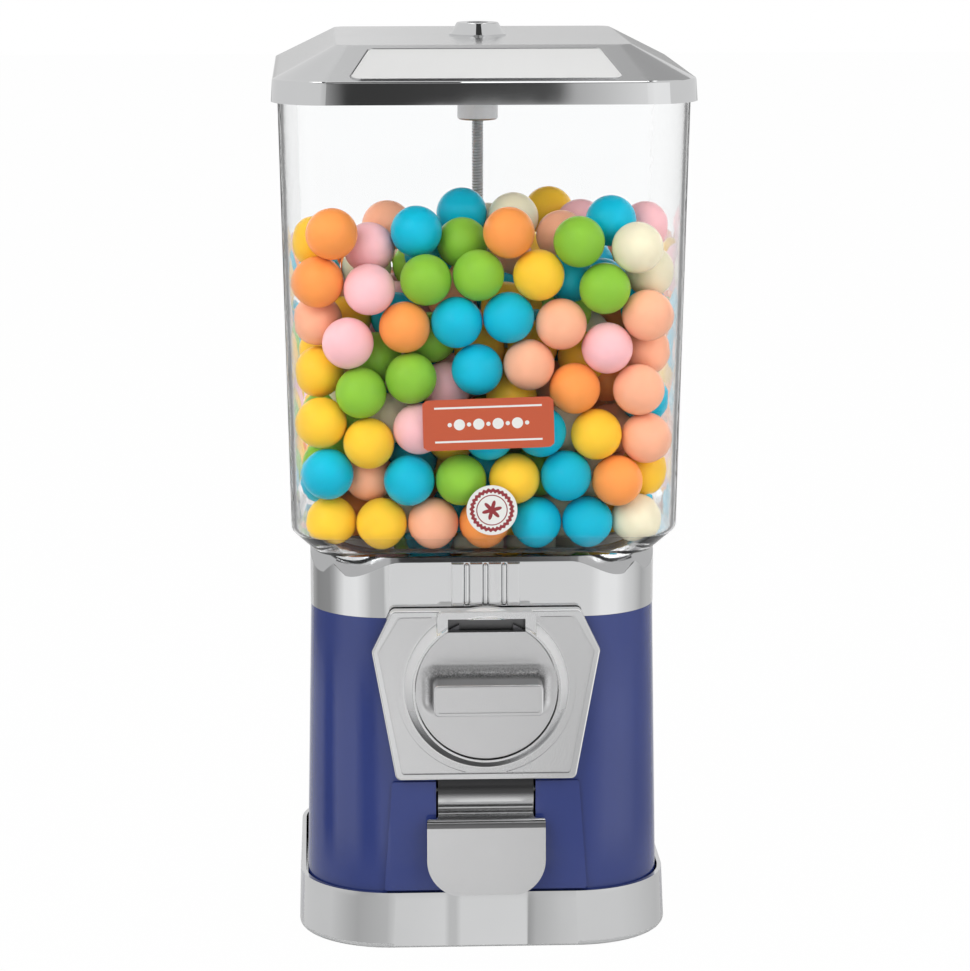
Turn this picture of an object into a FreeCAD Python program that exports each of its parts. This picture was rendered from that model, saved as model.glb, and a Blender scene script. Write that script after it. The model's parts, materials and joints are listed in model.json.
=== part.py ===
"""Coin-operated gumball machine with a square clear globe.

Millimetres. The origin is on the table under the centre rod, +Z is up and the
front, with the coin dial and the flap, faces -Y.
"""
import FreeCAD
import Part
import math
import os
import random

V = FreeCAD.Vector

# Feet and base tray
FOOT_RADIUS = 9.0
FOOT_SPACING = 116.0
FOOT_STAND_OUT = 0.6
BASE_HEIGHT = 28.0
BASE_FOOT_WIDTH = 178.4
BASE_RIM_WIDTH = 176.0
BASE_CORNER = 45.0
BASE_WALL = 2.0
BASE_EDGE_ROUND = 2.5
BASE_FLOOR_UNDERSIDE = 9.0
BASE_FLOOR_THICK = 2.5

# Painted body
BODY_HEIGHT = 150.0
BODY_FOOT_WIDTH = 170.4
BODY_TOP_WIDTH = 164.4
BODY_FOOT_CORNER = 42.0
BODY_TOP_CORNER = 37.0
BODY_WALL = 1.2
APRON_TOP = 82.0
APRON_TOP_WIDTH = 89.0
APRON_FOOT_WIDTH = 96.8
APRON_RISE = 1.6
APRON_ABOVE_RIM = 0.8
APRON_ROUND = 1.2

# Collar under the globe
COLLAR_SEAT_HEIGHT = 25.5
COLLAR_WIDTH = 164.8
COLLAR_CORNER = 37.0
COLLAR_WALL = 2.5
COLLAR_TOP_DEPTH = 11.0
COLLAR_LIP_DEPTH = 6.0
COLLAR_LIP_CLEARANCE = 0.3
COLLAR_GLOBE_GAP = 0.4
REBATE_GAP = 0.4
SCOOP_DEPTH = 9.5
SCOOP_EDGE_DROP = 2.1
SCOOP_SLOPE = 60.0
SCOOP_LOW_POINT = 66.0
SCOOP_OUTER_END = 76.5
SCOOP_INNER_END = 40.0
FLUTE_COUNT = 4
FLUTE_WIDTH = 5.9
FLUTE_PITCH = 8.8
FLUTE_RISE = 1.6
BEAD_RADIUS = 1.3
FLUTE_TOP_MARGIN = 0.3
FLUTE_FOOT_MARGIN = 0.8

# Hopper that carries the dispensing wheel
HOPPER_FLANGE_WIDTH = 154.0
HOPPER_FLANGE_CORNER = 34.0
HOPPER_FLANGE_THICK = 2.0
HOPPER_CONE_RADIUS = 71.0
HOPPER_CONE_HEIGHT = 15.0
HOPPER_WELL_RADIUS = 62.5
HOPPER_WALL = 2.0
HOPPER_FLOOR_THICK = 2.5
HOPPER_BORE_GAP = 1.0

# Clear globe
GASKET_THICK = 1.5
GASKET_WIDTH = 4.0
GLOBE_HEIGHT = 221.4
GLOBE_FOOT_WIDTH = 160.0
GLOBE_FOOT_CORNER = 20.0
GLOBE_WAIST_WIDTH = 182.0
GLOBE_WAIST_CORNER = 23.0
GLOBE_TOP_WIDTH = 191.4
GLOBE_TOP_CORNER = 24.0
GLOBE_CHAMFER_HEIGHT = 11.5
GLOBE_WALL = 2.6
GLOBE_WAIST_ROUND = 5.0

# Lid, its lock and the rod that holds the stack together
LID_WIDTH = 197.0
LID_CORNER = 25.0
LID_FLARE = 0.6
LID_RIM_HEIGHT = 10.3
LID_SKIRT = 8.0
LID_SLOPE_HEIGHT = 15.0
LID_TOP_WIDTH = 137.0
LID_TOP_CORNER = 6.0
LID_SHEET = 1.5
LID_SEAT_WIDTH = 5.0
LID_SEAT_GAP = 0.1
LID_EDGE_ROUND = 1.0
PANEL_TOP_WIDTH = 110.4
PANEL_FOOT_WIDTH = 128.4
PANEL_MARGIN = 2.2
PANEL_CORNER = 5.0
PANEL_RISE = 0.7
PANEL_FRAME = 1.8
PANEL_FIELD_DEPTH = 0.4
LOCK_WASHER_RADIUS = 13.8
LOCK_WASHER_THICK = 0.8
LOCK_FOOT_RADIUS = 13.0
LOCK_TOP_RADIUS = 9.9
LOCK_HEIGHT = 5.3
LOCK_NECK_RADIUS = 7.0
LOCK_NECK_DEPTH = 7.0
LOCK_PLUG_RADIUS = 5.0
LOCK_PLUG_SUNK = 0.5
LOCK_FLOOR = 2.0
KEYWAY_LENGTH = 5.4
KEYWAY_WIDTH = 1.5
KEYWAY_DEPTH = 2.0
BOSS_RADIUS = 9.75
BOSS_LENGTH = 38.8
BOSS_CHAMFER = 0.8
ROD_RADIUS = 2.95
ROD_END_BELOW_NUT = 0.8
ROD_TOP_CLEARANCE = 6.0
ROD_HOLE_GAP = 0.3
NUT_ACROSS_FLATS = 10.0
NUT_HEIGHT = 5.0
WASHER_RADIUS = 9.0
WASHER_THICK = 1.2

# Coin mechanism
RUNNING_GAP = 0.05
DIAL_AXIS_Z = 129.0
PLATE_BOTTOM = 84.0
PLATE_SHOULDER = 146.7
PLATE_TOP = 166.4
PLATE_BOTTOM_WIDTH = 85.4
PLATE_SHOULDER_WIDTH = 108.0
PLATE_TOP_WIDTH = 89.0
PLATE_THICK = 4.5
PLATE_CORNER = 3.0
PLATE_GAP = 0.4
FRAME_WIDTH = 2.8
FRAME_RISE = 1.2
FRAME_GROOVE = 0.8
PAD_RISE = 0.6
PAD_CIRCLE_RADIUS = 42.5
BEZEL_RADIUS = 38.6
BEZEL_BORE = 33.9
BEZEL_FRONT_RADIUS = 34.9
BEZEL_LAND = 1.5
BEZEL_REACH = 7.0
DIAL_RECESS = 1.5
SLOT_WIDTH = 36.4
HOOD_THICK = 3.2
HOOD_CHEEK = 5.0
HOOD_CHEEK_LENGTH = 19.0
DIAL_RADIUS = 33.4
DIAL_DISC_THICK = 4.2
DIAL_CHORD = 27.8
BAR_LENGTH = 51.2
BAR_HEIGHT = 15.0
BAR_REACH = 21.3
BAR_CORNER = 2.5
BAR_ROOT_ROUND = 6.0
BAR_EDGE_ROUND = 1.0
BAR_FIELD_MARGIN = 1.7
BAR_FIELD_DEPTH = 0.5
COIN_WHEEL_RADIUS = 33.0
COIN_WHEEL_THICK = 2.4
COIN_WHEEL_GAP = 0.2
COIN_POCKET_WIDTH = 25.4
COIN_POCKET_DEPTH = 22.0
COIN_EXIT_RADIUS = 12.4
COIN_EXIT_OFFSET = 21.2
COIN_EXIT_ANGLE = -50.0
SHAFT_RADIUS = 5.0
SHAFT_SEAT_IN_DIAL = 2.5
BEARING_RADIUS = 8.4
BEARING_LENGTH = 8.0
SIDE_GAP = 0.3
RATCHET_TEETH = 12
RATCHET_RADIUS = 17.0
RATCHET_ROOT = 14.4
RATCHET_THICK = 3.0
PAWL_PIVOT_OFFSET = 28.0
PAWL_PIVOT_ANGLE = 145.0
PAWL_NOSE_ANGLE = 100.0
PAWL_NOSE_RADIUS = 1.6
PAWL_HUB_RADIUS = 4.0
PAWL_PIN_RADIUS = 2.0
PAWL_PIN_HEAD = 3.2
PAWL_NOSE_GAP = 0.4
SPRING_WIRE = 1.0
SPRING_GAP = 0.1
DOG_RADIUS = 2.5
DOG_OFFSET = 24.5
DOG_ANGLE = 40.0
DOG_LENGTH = 9.0
DOG_TRAVEL_ROOM = 4.0
DOG_BOSS_RADIUS = 5.0
DOG_CAP_THICK = 1.5
STUD_RADIUS = 2.0
STUD_REACH = 10.0
STUD_HOLE_GAP = 0.3
STUD_LOW = (38.0, 97.0)
STUD_HIGH = (43.0, 146.5)
STUD_NUT_FLATS = 7.0
STUD_NUT_HEIGHT = 3.2
MECH_OPENING_WIDTH = 68.0
MECH_OPENING_LOW = 94.0
MECH_OPENING_HIGH = 153.0
OPENING_CORNER = 4.0

# Dispensing wheel and its gear pair
GEAR_MODULE = 2.25
PINION_TEETH = 12
CROWN_TEETH = 48
PINION_FACE = 6.0
TOOTH_SHARE = 0.40
TOOTH_ADDENDUM = 1.9
TOOTH_DEDENDUM = 2.5
TOOTH_FLANK_ANGLE = 22.0
CROWN_FACE = 7.0
CROWN_FLOOR_GAP = 0.5
WHEEL_RADIUS = 61.5
WHEEL_THICK = 20.9
POCKET_COUNT = 4
POCKET_RADIUS = 14.0
POCKET_CIRCLE = 36.0
POCKET_LEAD_IN = 2.0
HUB_FOOT_RADIUS = 14.0
HUB_TOP_RADIUS = 8.0
HUB_RISE = 6.0
DROP_HOLE_RADIUS = 15.0
DROP_HOLE_ANGLE = 180.0
GUARD_THICK = 1.5
GUARD_GAP = 1.0
GUARD_INNER_RADIUS = 18.0
GUARD_SPREAD = 64.0

# Ball chute and flap
CHUTE_WALL = 1.6
CHUTE_BEND_Z = 95.0
CHUTE_MOUTH_Z = 45.0
CHUTE_SET_BACK = 2.0
MOUTH_WIDTH = 47.4
MOUTH_LOW = 30.5
FLAP_HINGE_Z = 76.0
FLAP_HINGE_SET_BACK = 7.0
FLAP_ROLL_RADIUS = 10.2
FLAP_ROLL_TOP_ANGLE = 88.0
FLAP_ROLL_FOOT_ANGLE = -38.0
FLAP_SHEET = 1.3
FLAP_NECK_WIDTH = 45.4
FLAP_WIDTH = 56.4
FLAP_SHOULDER = 65.0
FLAP_BOTTOM = 27.6
FLAP_CORNER = 17.5
FLAP_SHOULDER_ROUND = 1.2
FLAP_CREASE_IN = 1.0
FLAP_CREASE_DROP = 1.6
FLAP_FOLD_OUT = 5.7
FLAP_FOLD_DROP = 12.6
FLAP_LEAN = 2.0
FLAP_CREASE_ROUND = 1.2
FLAP_FOLD_ROUND = 3.0
HINGE_PIN_RADIUS = 1.5
EAR_THICK = 1.6
EAR_GAP = 0.6
EAR_HEIGHT = 12.0
EAR_FOOT = 7.0
EAR_DEPTH = 10.0

# Gumballs, and where the front layer lies: colour, across, height and row behind the glass
BALL_DIAMETER = 24.0
BALL_GAP = 0.3
PILE_TOP = 350.0
PILE_LAYER = 19.0
PILE_SPACING = 25.0
PILE_JITTER = 2.5
ROW_SPACING = 19.2
PILE_SEED = 7
SETTLE_STEPS = 160
FRONT_LAYER = (
    ("yellow", -75, 208, 0), ("yellow", -52, 206, 0), ("salmon", -28, 204, 0), ("orange", 7, 205, 0),
    ("blue", 31, 204, 0), ("blue", 54, 204, 0), ("cream", 75, 210, 0), ("blue", -9, 203, 1),
    ("blue", -78, 231, 0), ("salmon", -58, 224, 1), ("blue", -37, 225, 0), ("green", -12, 220, 0),
    ("yellow", 19, 225, 0), ("blue", 42, 225, 0), ("orange", 66, 227, 0), ("yellow", 80, 232, 1),
    ("yellow", -77, 254, 0), ("yellow", -59, 241, 0), ("pink", -36, 249, 0), ("yellow", -20, 240, 1),
    ("blue", 1, 238, 0), ("blue", 30, 245, 0), ("yellow", 54, 247, 0), ("salmon", 76, 247, 0),
    ("yellow", -79, 279, 1), ("green", -61, 265, 0), ("green", -38, 273, 0), ("pink", -15, 266, 1),
    ("blue", -2, 279, 0), ("yellow", 13, 267, 1), ("orange", 40, 267, 0), ("salmon", 70, 266, 0),
    ("pink", -65, 289, 0), ("orange", -37, 296, 0), ("blue", -12, 300, 0), ("green", -21, 284, 1),
    ("salmon", 23, 281, 0), ("pink", 55, 284, 0), ("salmon", 77, 284, 1), ("salmon", -79, 301, 1),
    ("blue", 12, 302, 0), ("salmon", 38, 300, 0), ("salmon", 72, 302, 0), ("orange", -79, 317, 0),
    ("pink", -56, 312, 0), ("green", -32, 319, 0), ("green", -3, 322, 0), ("yellow", 27, 322, 0),
    ("green", 55, 318, 0), ("cream", 81, 323, 1), ("orange", -74, 337, 0.2), ("pink", -53, 333, 0.8),
    ("blue", -31, 335, 0.4), ("green", -9, 336, 1), ("orange", 12, 339, 0), ("green", 42, 337, 0),
    ("cream", 70, 336, 0), ("blue", 60, 347, 1), ("yellow", -81, 338, 1), ("pink", 78, 342, 2),
    ("salmon", -40, 340, 2), ("blue", -27, 335, 2), ("blue", -9, 343, 2), ("cream", 18, 345, 2),
    ("cream", 3, 340, 3), ("yellow", 35, 345, 4), ("salmon", 34, 340, 2), ("pink", 47, 341, 3),
)
COLOURS = ("orange", "green", "yellow", "blue", "pink", "salmon", "cream")

# Heights that follow from the stack
BASE_FLOOR_TOP = BASE_FLOOR_UNDERSIDE + BASE_FLOOR_THICK
SEAM = BASE_FLOOR_TOP + BODY_HEIGHT
HOPPER_SEAT = SEAM + COLLAR_SEAT_HEIGHT
HOPPER_TOP = HOPPER_SEAT + HOPPER_FLANGE_THICK
GLOBE_FOOT = HOPPER_TOP + GASKET_THICK
COLLAR_TOP = GLOBE_FOOT - COLLAR_GLOBE_GAP
COLLAR_EDGE = COLLAR_TOP - SCOOP_EDGE_DROP
GLOBE_WAIST = GLOBE_FOOT + GLOBE_CHAMFER_HEIGHT
GLOBE_TOP = GLOBE_FOOT + GLOBE_HEIGHT
LID_SEAT = GLOBE_TOP + LID_SEAT_GAP
LID_FOOT = LID_SEAT - LID_SKIRT
LID_RIM_TOP = LID_FOOT + LID_RIM_HEIGHT
LID_TOP = LID_RIM_TOP + LID_SLOPE_HEIGHT
LID_CEILING = LID_TOP - LID_SHEET
LID_RIM_WIDTH = LID_WIDTH - 2 * LID_FLARE
BOSS_FOOT = LID_CEILING - BOSS_LENGTH
LOCK_FOOT = LID_TOP + LOCK_WASHER_THICK
LOCK_TOP = LOCK_FOOT + LOCK_HEIGHT
LOCK_NECK_FOOT = LOCK_FOOT - LOCK_NECK_DEPTH
ROD_TOP = LOCK_NECK_FOOT - ROD_TOP_CLEARANCE
WASHER_UNDERSIDE = BASE_FLOOR_UNDERSIDE - WASHER_THICK
NUT_UNDERSIDE = WASHER_UNDERSIDE - NUT_HEIGHT
ROD_FOOT = NUT_UNDERSIDE - ROD_END_BELOW_NUT

# Gear pair: the pinion turns about the dial's axis and meshes with teeth under the wheel
PINION_RADIUS = GEAR_MODULE * PINION_TEETH / 2
CROWN_RADIUS = GEAR_MODULE * CROWN_TEETH / 2
PITCH_PLANE = DIAL_AXIS_Z + PINION_RADIUS
CROWN_TIP = PITCH_PLANE - TOOTH_ADDENDUM
CROWN_ROOT = PITCH_PLANE + TOOTH_DEDENDUM
HOPPER_FLOOR_TOP = CROWN_TIP - CROWN_FLOOR_GAP
HOPPER_FLOOR = HOPPER_FLOOR_TOP - HOPPER_FLOOR_THICK
WHEEL_TOP = CROWN_ROOT + WHEEL_THICK
HUB_TOP = WHEEL_TOP + HUB_RISE
CONE_FOOT = HOPPER_SEAT - HOPPER_CONE_HEIGHT
DROP_X = POCKET_CIRCLE * math.cos(math.radians(DROP_HOLE_ANGLE))
DROP_Y = POCKET_CIRCLE * math.sin(math.radians(DROP_HOLE_ANGLE))


def body_half(z):
    """Half width of the painted body at height z."""
    share = (z - BASE_FLOOR_TOP) / BODY_HEIGHT
    return (BODY_FOOT_WIDTH + (BODY_TOP_WIDTH - BODY_FOOT_WIDTH) * share) / 2


# Depths of the coin mechanism, front is -Y
PLATE_BACK = -(body_half(PLATE_BOTTOM) + PLATE_GAP)
PLATE_FRONT = PLATE_BACK - PLATE_THICK
BEZEL_FRONT = PLATE_FRONT - BEZEL_REACH
RECESS_FLOOR = PLATE_FRONT + DIAL_RECESS
COIN_WHEEL_BACK = RECESS_FLOOR - COIN_WHEEL_GAP
COIN_WHEEL_FRONT = COIN_WHEEL_BACK - COIN_WHEEL_THICK
DIAL_FRONT = COIN_WHEEL_FRONT - DIAL_DISC_THICK
BAR_FRONT = DIAL_FRONT - BAR_REACH
BEARING_BACK = PLATE_BACK + BEARING_LENGTH
RATCHET_FRONT = BEARING_BACK + SIDE_GAP
RATCHET_BACK = RATCHET_FRONT + RATCHET_THICK
PINION_FRONT = -CROWN_RADIUS - PINION_FACE / 2
PINION_BACK = -CROWN_RADIUS + PINION_FACE / 2
SHAFT_NUT_BACK = PINION_BACK + NUT_HEIGHT
FLAP_HINGE_Y = -(body_half(FLAP_HINGE_Z) - FLAP_HINGE_SET_BACK)
MOUTH_TOP = FLAP_HINGE_Z + FLAP_ROLL_RADIUS + 1.0


# Shape helpers

def rounded_square(width, corner, z):
    """Square outline with round corners, lying flat at height z."""
    half = width / 2
    flat = half - corner
    bulge = flat + corner * math.sqrt(0.5)
    edges = []
    for quarter in range(4):
        turn = FreeCAD.Rotation(V(0, 0, 1), 90 * quarter)
        side = [turn.multVec(V(half, y, z)) for y in (-flat, flat)]
        middle = turn.multVec(V(bulge, bulge, z))
        end = turn.multVec(V(flat, half, z))
        edges.append(Part.LineSegment(side[0], side[1]).toShape())
        edges.append(Part.Arc(side[1], middle, end).toShape())
    return Part.Wire(edges)


def tapered_block(low, high):
    """Solid between two rounded squares, each given as (width, corner, height)."""
    return Part.makeLoft([rounded_square(*low), rounded_square(*high)], True, True)


def upright_block(width, corner, z0, z1):
    """Square block with round corners and upright sides."""
    return tapered_block((width, corner, z0), (width, corner, z1))


def box(x0, x1, y0, y1, z0, z1):
    return Part.makeBox(x1 - x0, y1 - y0, z1 - z0, V(x0, y0, z0))


def rod_z(radius, z0, z1, x=0.0, y=0.0):
    return Part.makeCylinder(radius, z1 - z0, V(x, y, z0), V(0, 0, 1))


def rod_y(radius, y0, y1, x=0.0, z=DIAL_AXIS_Z):
    return Part.makeCylinder(radius, y1 - y0, V(x, y0, z), V(0, 1, 0))


def rod_x(radius, x0, x1, y, z):
    return Part.makeCylinder(radius, x1 - x0, V(x0, y, z), V(1, 0, 0))


def polar(radius, degrees):
    """Point in the front view, (across, height), about the dial's axis."""
    angle = math.radians(degrees)
    return radius * math.cos(angle), DIAL_AXIS_Z + radius * math.sin(angle)


def rounded_outline(corners, place):
    """Closed wire through (u, v, radius) corners; place turns (u, v) into a point in space."""
    stops = []
    for i, (u, v, radius) in enumerate(corners):
        here = V(u, v, 0)
        before = V(corners[i - 1][0], corners[i - 1][1], 0) - here
        after = V(corners[(i + 1) % len(corners)][0], corners[(i + 1) % len(corners)][1], 0) - here
        before.normalize()
        after.normalize()
        half = before.getAngle(after) / 2
        inward = before + after
        inward.normalize()
        back = radius / math.tan(half)
        depth = radius / math.sin(half) - radius
        stops.append((here + before * back, here + inward * depth, here + after * back, radius))
    edges = []
    for i, (start, middle, end, radius) in enumerate(stops):
        if radius > 0:
            edges.append(Part.Arc(*[place(p.x, p.y) for p in (start, middle, end)]).toShape())
        following = stops[(i + 1) % len(stops)][0]
        edges.append(Part.LineSegment(place(end.x, end.y), place(following.x, following.y)).toShape())
    return Part.Wire(edges)


def front_prism(corners, y0, y1):
    """Outline in the front view, (across, height, radius) corners, carried from y0 to y1."""
    wire = rounded_outline(corners, lambda u, v: V(u, y0, v))
    return Part.Face(wire).extrude(V(0, y1 - y0, 0))


def mirrored(corners):
    """Right-hand corners from the top down, then their mirror images going back up."""
    return list(corners) + [(-u, v, r) for u, v, r in reversed(corners)]


def hexagon(across_flats, start, along):
    """Hexagonal bar from the point start, along a vector."""
    bar = Part.Face(Part.makePolygon([
        V(across_flats / math.sqrt(3) * math.cos(math.radians(60 * i)),
          across_flats / math.sqrt(3) * math.sin(math.radians(60 * i)), 0) for i in range(7)
    ])).extrude(V(0, 0, along.Length))
    bar.Placement = FreeCAD.Placement(start, FreeCAD.Rotation(V(0, 0, 1), along))
    return bar


def fuse(shapes):
    return shapes[0].multiFuse(shapes[1:]).removeSplitter()


def edges_at_height(shape, z):
    return [e for e in shape.Edges if all(abs(p.Z - z) < 1e-4 for p in e.Vertexes)]


# Cabinet

def make_base():
    """Tray with a rim round the body's foot; the floor is raised over the rod's nut."""
    tray = tapered_block(
        (BASE_FOOT_WIDTH, BASE_CORNER, FOOT_STAND_OUT), (BASE_RIM_WIDTH, BASE_CORNER, BASE_HEIGHT))
    tray = tray.makeFillet(BASE_EDGE_ROUND, edges_at_height(tray, FOOT_STAND_OUT))
    inside = BASE_RIM_WIDTH - 2 * BASE_WALL
    corner = BASE_CORNER - BASE_WALL
    well = tapered_block((inside, corner, BASE_FLOOR_TOP), (inside, corner, BASE_HEIGHT + 1))
    under = BASE_FOOT_WIDTH - 2 * (BASE_EDGE_ROUND + BASE_WALL)
    under_corner = BASE_CORNER - BASE_EDGE_ROUND - BASE_WALL
    hollow = tapered_block((under, under_corner, 0), (under, under_corner, BASE_FLOOR_UNDERSIDE))
    rod_hole = rod_z(ROD_RADIUS + ROD_HOLE_GAP, 0, BASE_HEIGHT)
    return tray.cut(fuse([well, hollow, rod_hole]))


def make_feet():
    """Four rubber pads under the base floor."""
    feet = []
    reach = FOOT_SPACING / 2
    for x in (-reach, reach):
        for y in (-reach, reach):
            foot = rod_z(FOOT_RADIUS, 0, BASE_FLOOR_UNDERSIDE, x, y)
            feet.append(foot.makeChamfer(FOOT_STAND_OUT / 2, edges_at_height(foot, 0)))
    return Part.makeCompound(feet)


def apron_prism(inset):
    """Trapezium of the raised apron, drawn in by inset and carried through the front wall."""
    low = BASE_HEIGHT + APRON_ABOVE_RIM + inset
    high = APRON_TOP - inset
    corners = mirrored([
        (APRON_TOP_WIDTH / 2 - inset, high, APRON_ROUND),
        (APRON_FOOT_WIDTH / 2 - inset, low, APRON_ROUND),
    ])
    return front_prism(corners, -BODY_FOOT_WIDTH, 0)


def body_block(inset):
    """Solid outside of the body, apron and all, drawn in by inset."""
    spread = 2 * (APRON_RISE - inset)
    wall = tapered_block(
        (BODY_FOOT_WIDTH - 2 * inset, BODY_FOOT_CORNER - inset, BASE_FLOOR_TOP),
        (BODY_TOP_WIDTH - 2 * inset, BODY_TOP_CORNER - inset, SEAM))
    raised = tapered_block(
        (BODY_FOOT_WIDTH + spread, BODY_FOOT_CORNER, BASE_FLOOR_TOP),
        (BODY_TOP_WIDTH + spread, BODY_TOP_CORNER, SEAM))
    return wall.fuse(raised.common(apron_prism(inset)))


def stud_places():
    return [(side * x, z) for x, z in (STUD_LOW, STUD_HIGH) for side in (-1, 1)]


def make_body_shell():
    """Tapered sheet body with the apron, the coin mechanism's opening and the chute's mouth."""
    shell = body_block(0).cut(body_block(BODY_WALL))
    mouth = mirrored([
        (MOUTH_WIDTH / 2, MOUTH_TOP, OPENING_CORNER / 2),
        (MOUTH_WIDTH / 2, MOUTH_LOW, OPENING_CORNER),
    ])
    window = mirrored([
        (MECH_OPENING_WIDTH / 2, MECH_OPENING_HIGH, OPENING_CORNER),
        (MECH_OPENING_WIDTH / 2, MECH_OPENING_LOW, OPENING_CORNER),
    ])
    cuts = [front_prism(outline, -BODY_FOOT_WIDTH, -BODY_FOOT_WIDTH / 4) for outline in (mouth, window)]
    for x, z in stud_places():
        cuts.append(rod_y(STUD_RADIUS + STUD_HOLE_GAP, -BODY_FOOT_WIDTH, -BODY_FOOT_WIDTH / 4, x, z))
    return shell.cut(fuse(cuts))


def scoop_cutter():
    """Bevel along one side's top edge that dips towards the corners and stops at an upright horn."""
    steep = math.tan(math.radians(SCOOP_SLOPE))
    flat = COLLAR_WIDTH / 2 - COLLAR_CORNER
    set_back = COLLAR_CORNER - math.sqrt(COLLAR_CORNER ** 2 - (SCOOP_LOW_POINT - flat) ** 2)
    start = -COLLAR_WIDTH / 2 - 1.0
    edge = COLLAR_EDGE - steep
    low = COLLAR_TOP - SCOOP_DEPTH - (set_back + 1.0) * steep
    ease = (SCOOP_LOW_POINT - SCOOP_INNER_END) * 0.38
    beyond = SCOOP_OUTER_END + COLLAR_CORNER
    deep = low - (beyond - SCOOP_LOW_POINT)
    high = COLLAR_TOP + 2.0
    edges = []
    for side in (-1, 1):
        curve = Part.BezierCurve()
        curve.setPoles([
            V(side * SCOOP_LOW_POINT, start, low), V(side * (SCOOP_LOW_POINT - ease), start, low + ease),
            V(side * (SCOOP_INNER_END + ease), start, edge), V(side * SCOOP_INNER_END, start, edge)])
        tail = Part.LineSegment(V(side * beyond, start, deep), V(side * SCOOP_LOW_POINT, start, low))
        wall = Part.LineSegment(V(side * beyond, start, high), V(side * beyond, start, deep))
        edges.extend([wall.toShape(), tail.toShape(), curve.toShape()])
    for reach, z in ((SCOOP_INNER_END, edge), (beyond, high)):
        edges.append(Part.LineSegment(V(-reach, start, z), V(reach, start, z)).toShape())
    wire = Part.Wire(Part.sortEdges(edges)[0])
    floor = Part.Face(wire).extrude(V(0, COLLAR_CORNER, COLLAR_CORNER * steep))
    lean = (SCOOP_OUTER_END - SCOOP_LOW_POINT) / SCOOP_DEPTH
    horns = front_prism(mirrored([
        (SCOOP_OUTER_END + lean, COLLAR_TOP + 1.0, 0),
        (SCOOP_OUTER_END - 2 * lean * SCOOP_DEPTH, COLLAR_TOP - 2 * SCOOP_DEPTH, 0),
    ]), start, start + COLLAR_CORNER)
    return floor.common(horns)


def flutes():
    """Upright flat bars with a round bead in each gap, on the collar's front."""
    face = -COLLAR_WIDTH / 2
    low = PLATE_TOP + FLUTE_FOOT_MARGIN
    high = COLLAR_EDGE - FLUTE_TOP_MARGIN
    pieces = []
    for i in range(FLUTE_COUNT):
        x = (i - (FLUTE_COUNT - 1) / 2) * FLUTE_PITCH
        bar = box(x - FLUTE_WIDTH / 2, x + FLUTE_WIDTH / 2, face - FLUTE_RISE, face + 1.0, low, high)
        uprights = [e for e in bar.Edges if all(abs(p.Y - face + FLUTE_RISE) < 1e-4 for p in e.Vertexes)]
        pieces.append(bar.makeFillet(FLUTE_RISE / 3, uprights))
    for i in range(FLUTE_COUNT - 1):
        x = (i - (FLUTE_COUNT - 2) / 2) * FLUTE_PITCH
        bead = rod_z(BEAD_RADIUS, low + BEAD_RADIUS, high - BEAD_RADIUS, x, face)
        ends = [Part.makeSphere(BEAD_RADIUS, V(x, face, z)) for z in (low + BEAD_RADIUS, high - BEAD_RADIUS)]
        pieces.append(fuse([bead] + ends))
    return pieces


def make_collar():
    """Bright casting between body and globe, scooped at its corners and fluted in front."""
    block = tapered_block((COLLAR_WIDTH, COLLAR_CORNER, SEAM), (COLLAR_WIDTH, COLLAR_CORNER, COLLAR_TOP))
    scoop = scoop_cutter()
    for quarter in range(4):
        turned = scoop.copy()
        turned.rotate(V(0, 0, 0), V(0, 0, 1), 90 * quarter)
        block = block.cut(turned)
    block = block.multiFuse(flutes())
    inside = COLLAR_WIDTH - 2 * COLLAR_WALL
    inside_corner = COLLAR_CORNER - COLLAR_WALL
    hollow = tapered_block(
        (inside, inside_corner, SEAM - 1), (inside, inside_corner, HOPPER_SEAT - COLLAR_TOP_DEPTH))
    bore = rod_z(HOPPER_CONE_RADIUS + HOPPER_WALL + HOPPER_BORE_GAP, SEAM, COLLAR_TOP + 1)
    rebate_width = HOPPER_FLANGE_WIDTH + 2 * REBATE_GAP
    rebate_corner = HOPPER_FLANGE_CORNER + REBATE_GAP
    rebate = upright_block(rebate_width, rebate_corner, HOPPER_SEAT, COLLAR_TOP + 1)
    lip_inset = 2 * (BODY_WALL + COLLAR_LIP_CLEARANCE)
    lip_corner = BODY_TOP_CORNER - lip_inset / 2
    lip_width = BODY_TOP_WIDTH - lip_inset
    lip_low = SEAM - COLLAR_LIP_DEPTH
    lip = tapered_block((lip_width, lip_corner, lip_low), (lip_width, lip_corner, SEAM + COLLAR_WALL))
    lip_hole = tapered_block(
        (lip_width - 2 * COLLAR_WALL, lip_corner - COLLAR_WALL, lip_low - 1),
        (lip_width - 2 * COLLAR_WALL, lip_corner - COLLAR_WALL, SEAM + COLLAR_WALL + 1))
    return block.cut(hollow).cut(bore).cut(rebate).fuse(lip.cut(lip_hole)).removeSplitter()


def gasket_opening(z0, z1):
    """Prism of the opening that gasket and globe floor share over the hopper."""
    width = HOPPER_FLANGE_WIDTH - 2 * GASKET_WIDTH
    corner = HOPPER_FLANGE_CORNER - GASKET_WIDTH
    return upright_block(width, corner, z0, z1)


def make_gasket():
    ring = upright_block(HOPPER_FLANGE_WIDTH, HOPPER_FLANGE_CORNER, HOPPER_TOP, GLOBE_FOOT)
    return ring.cut(gasket_opening(HOPPER_TOP - 1, GLOBE_FOOT + 1))


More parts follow.
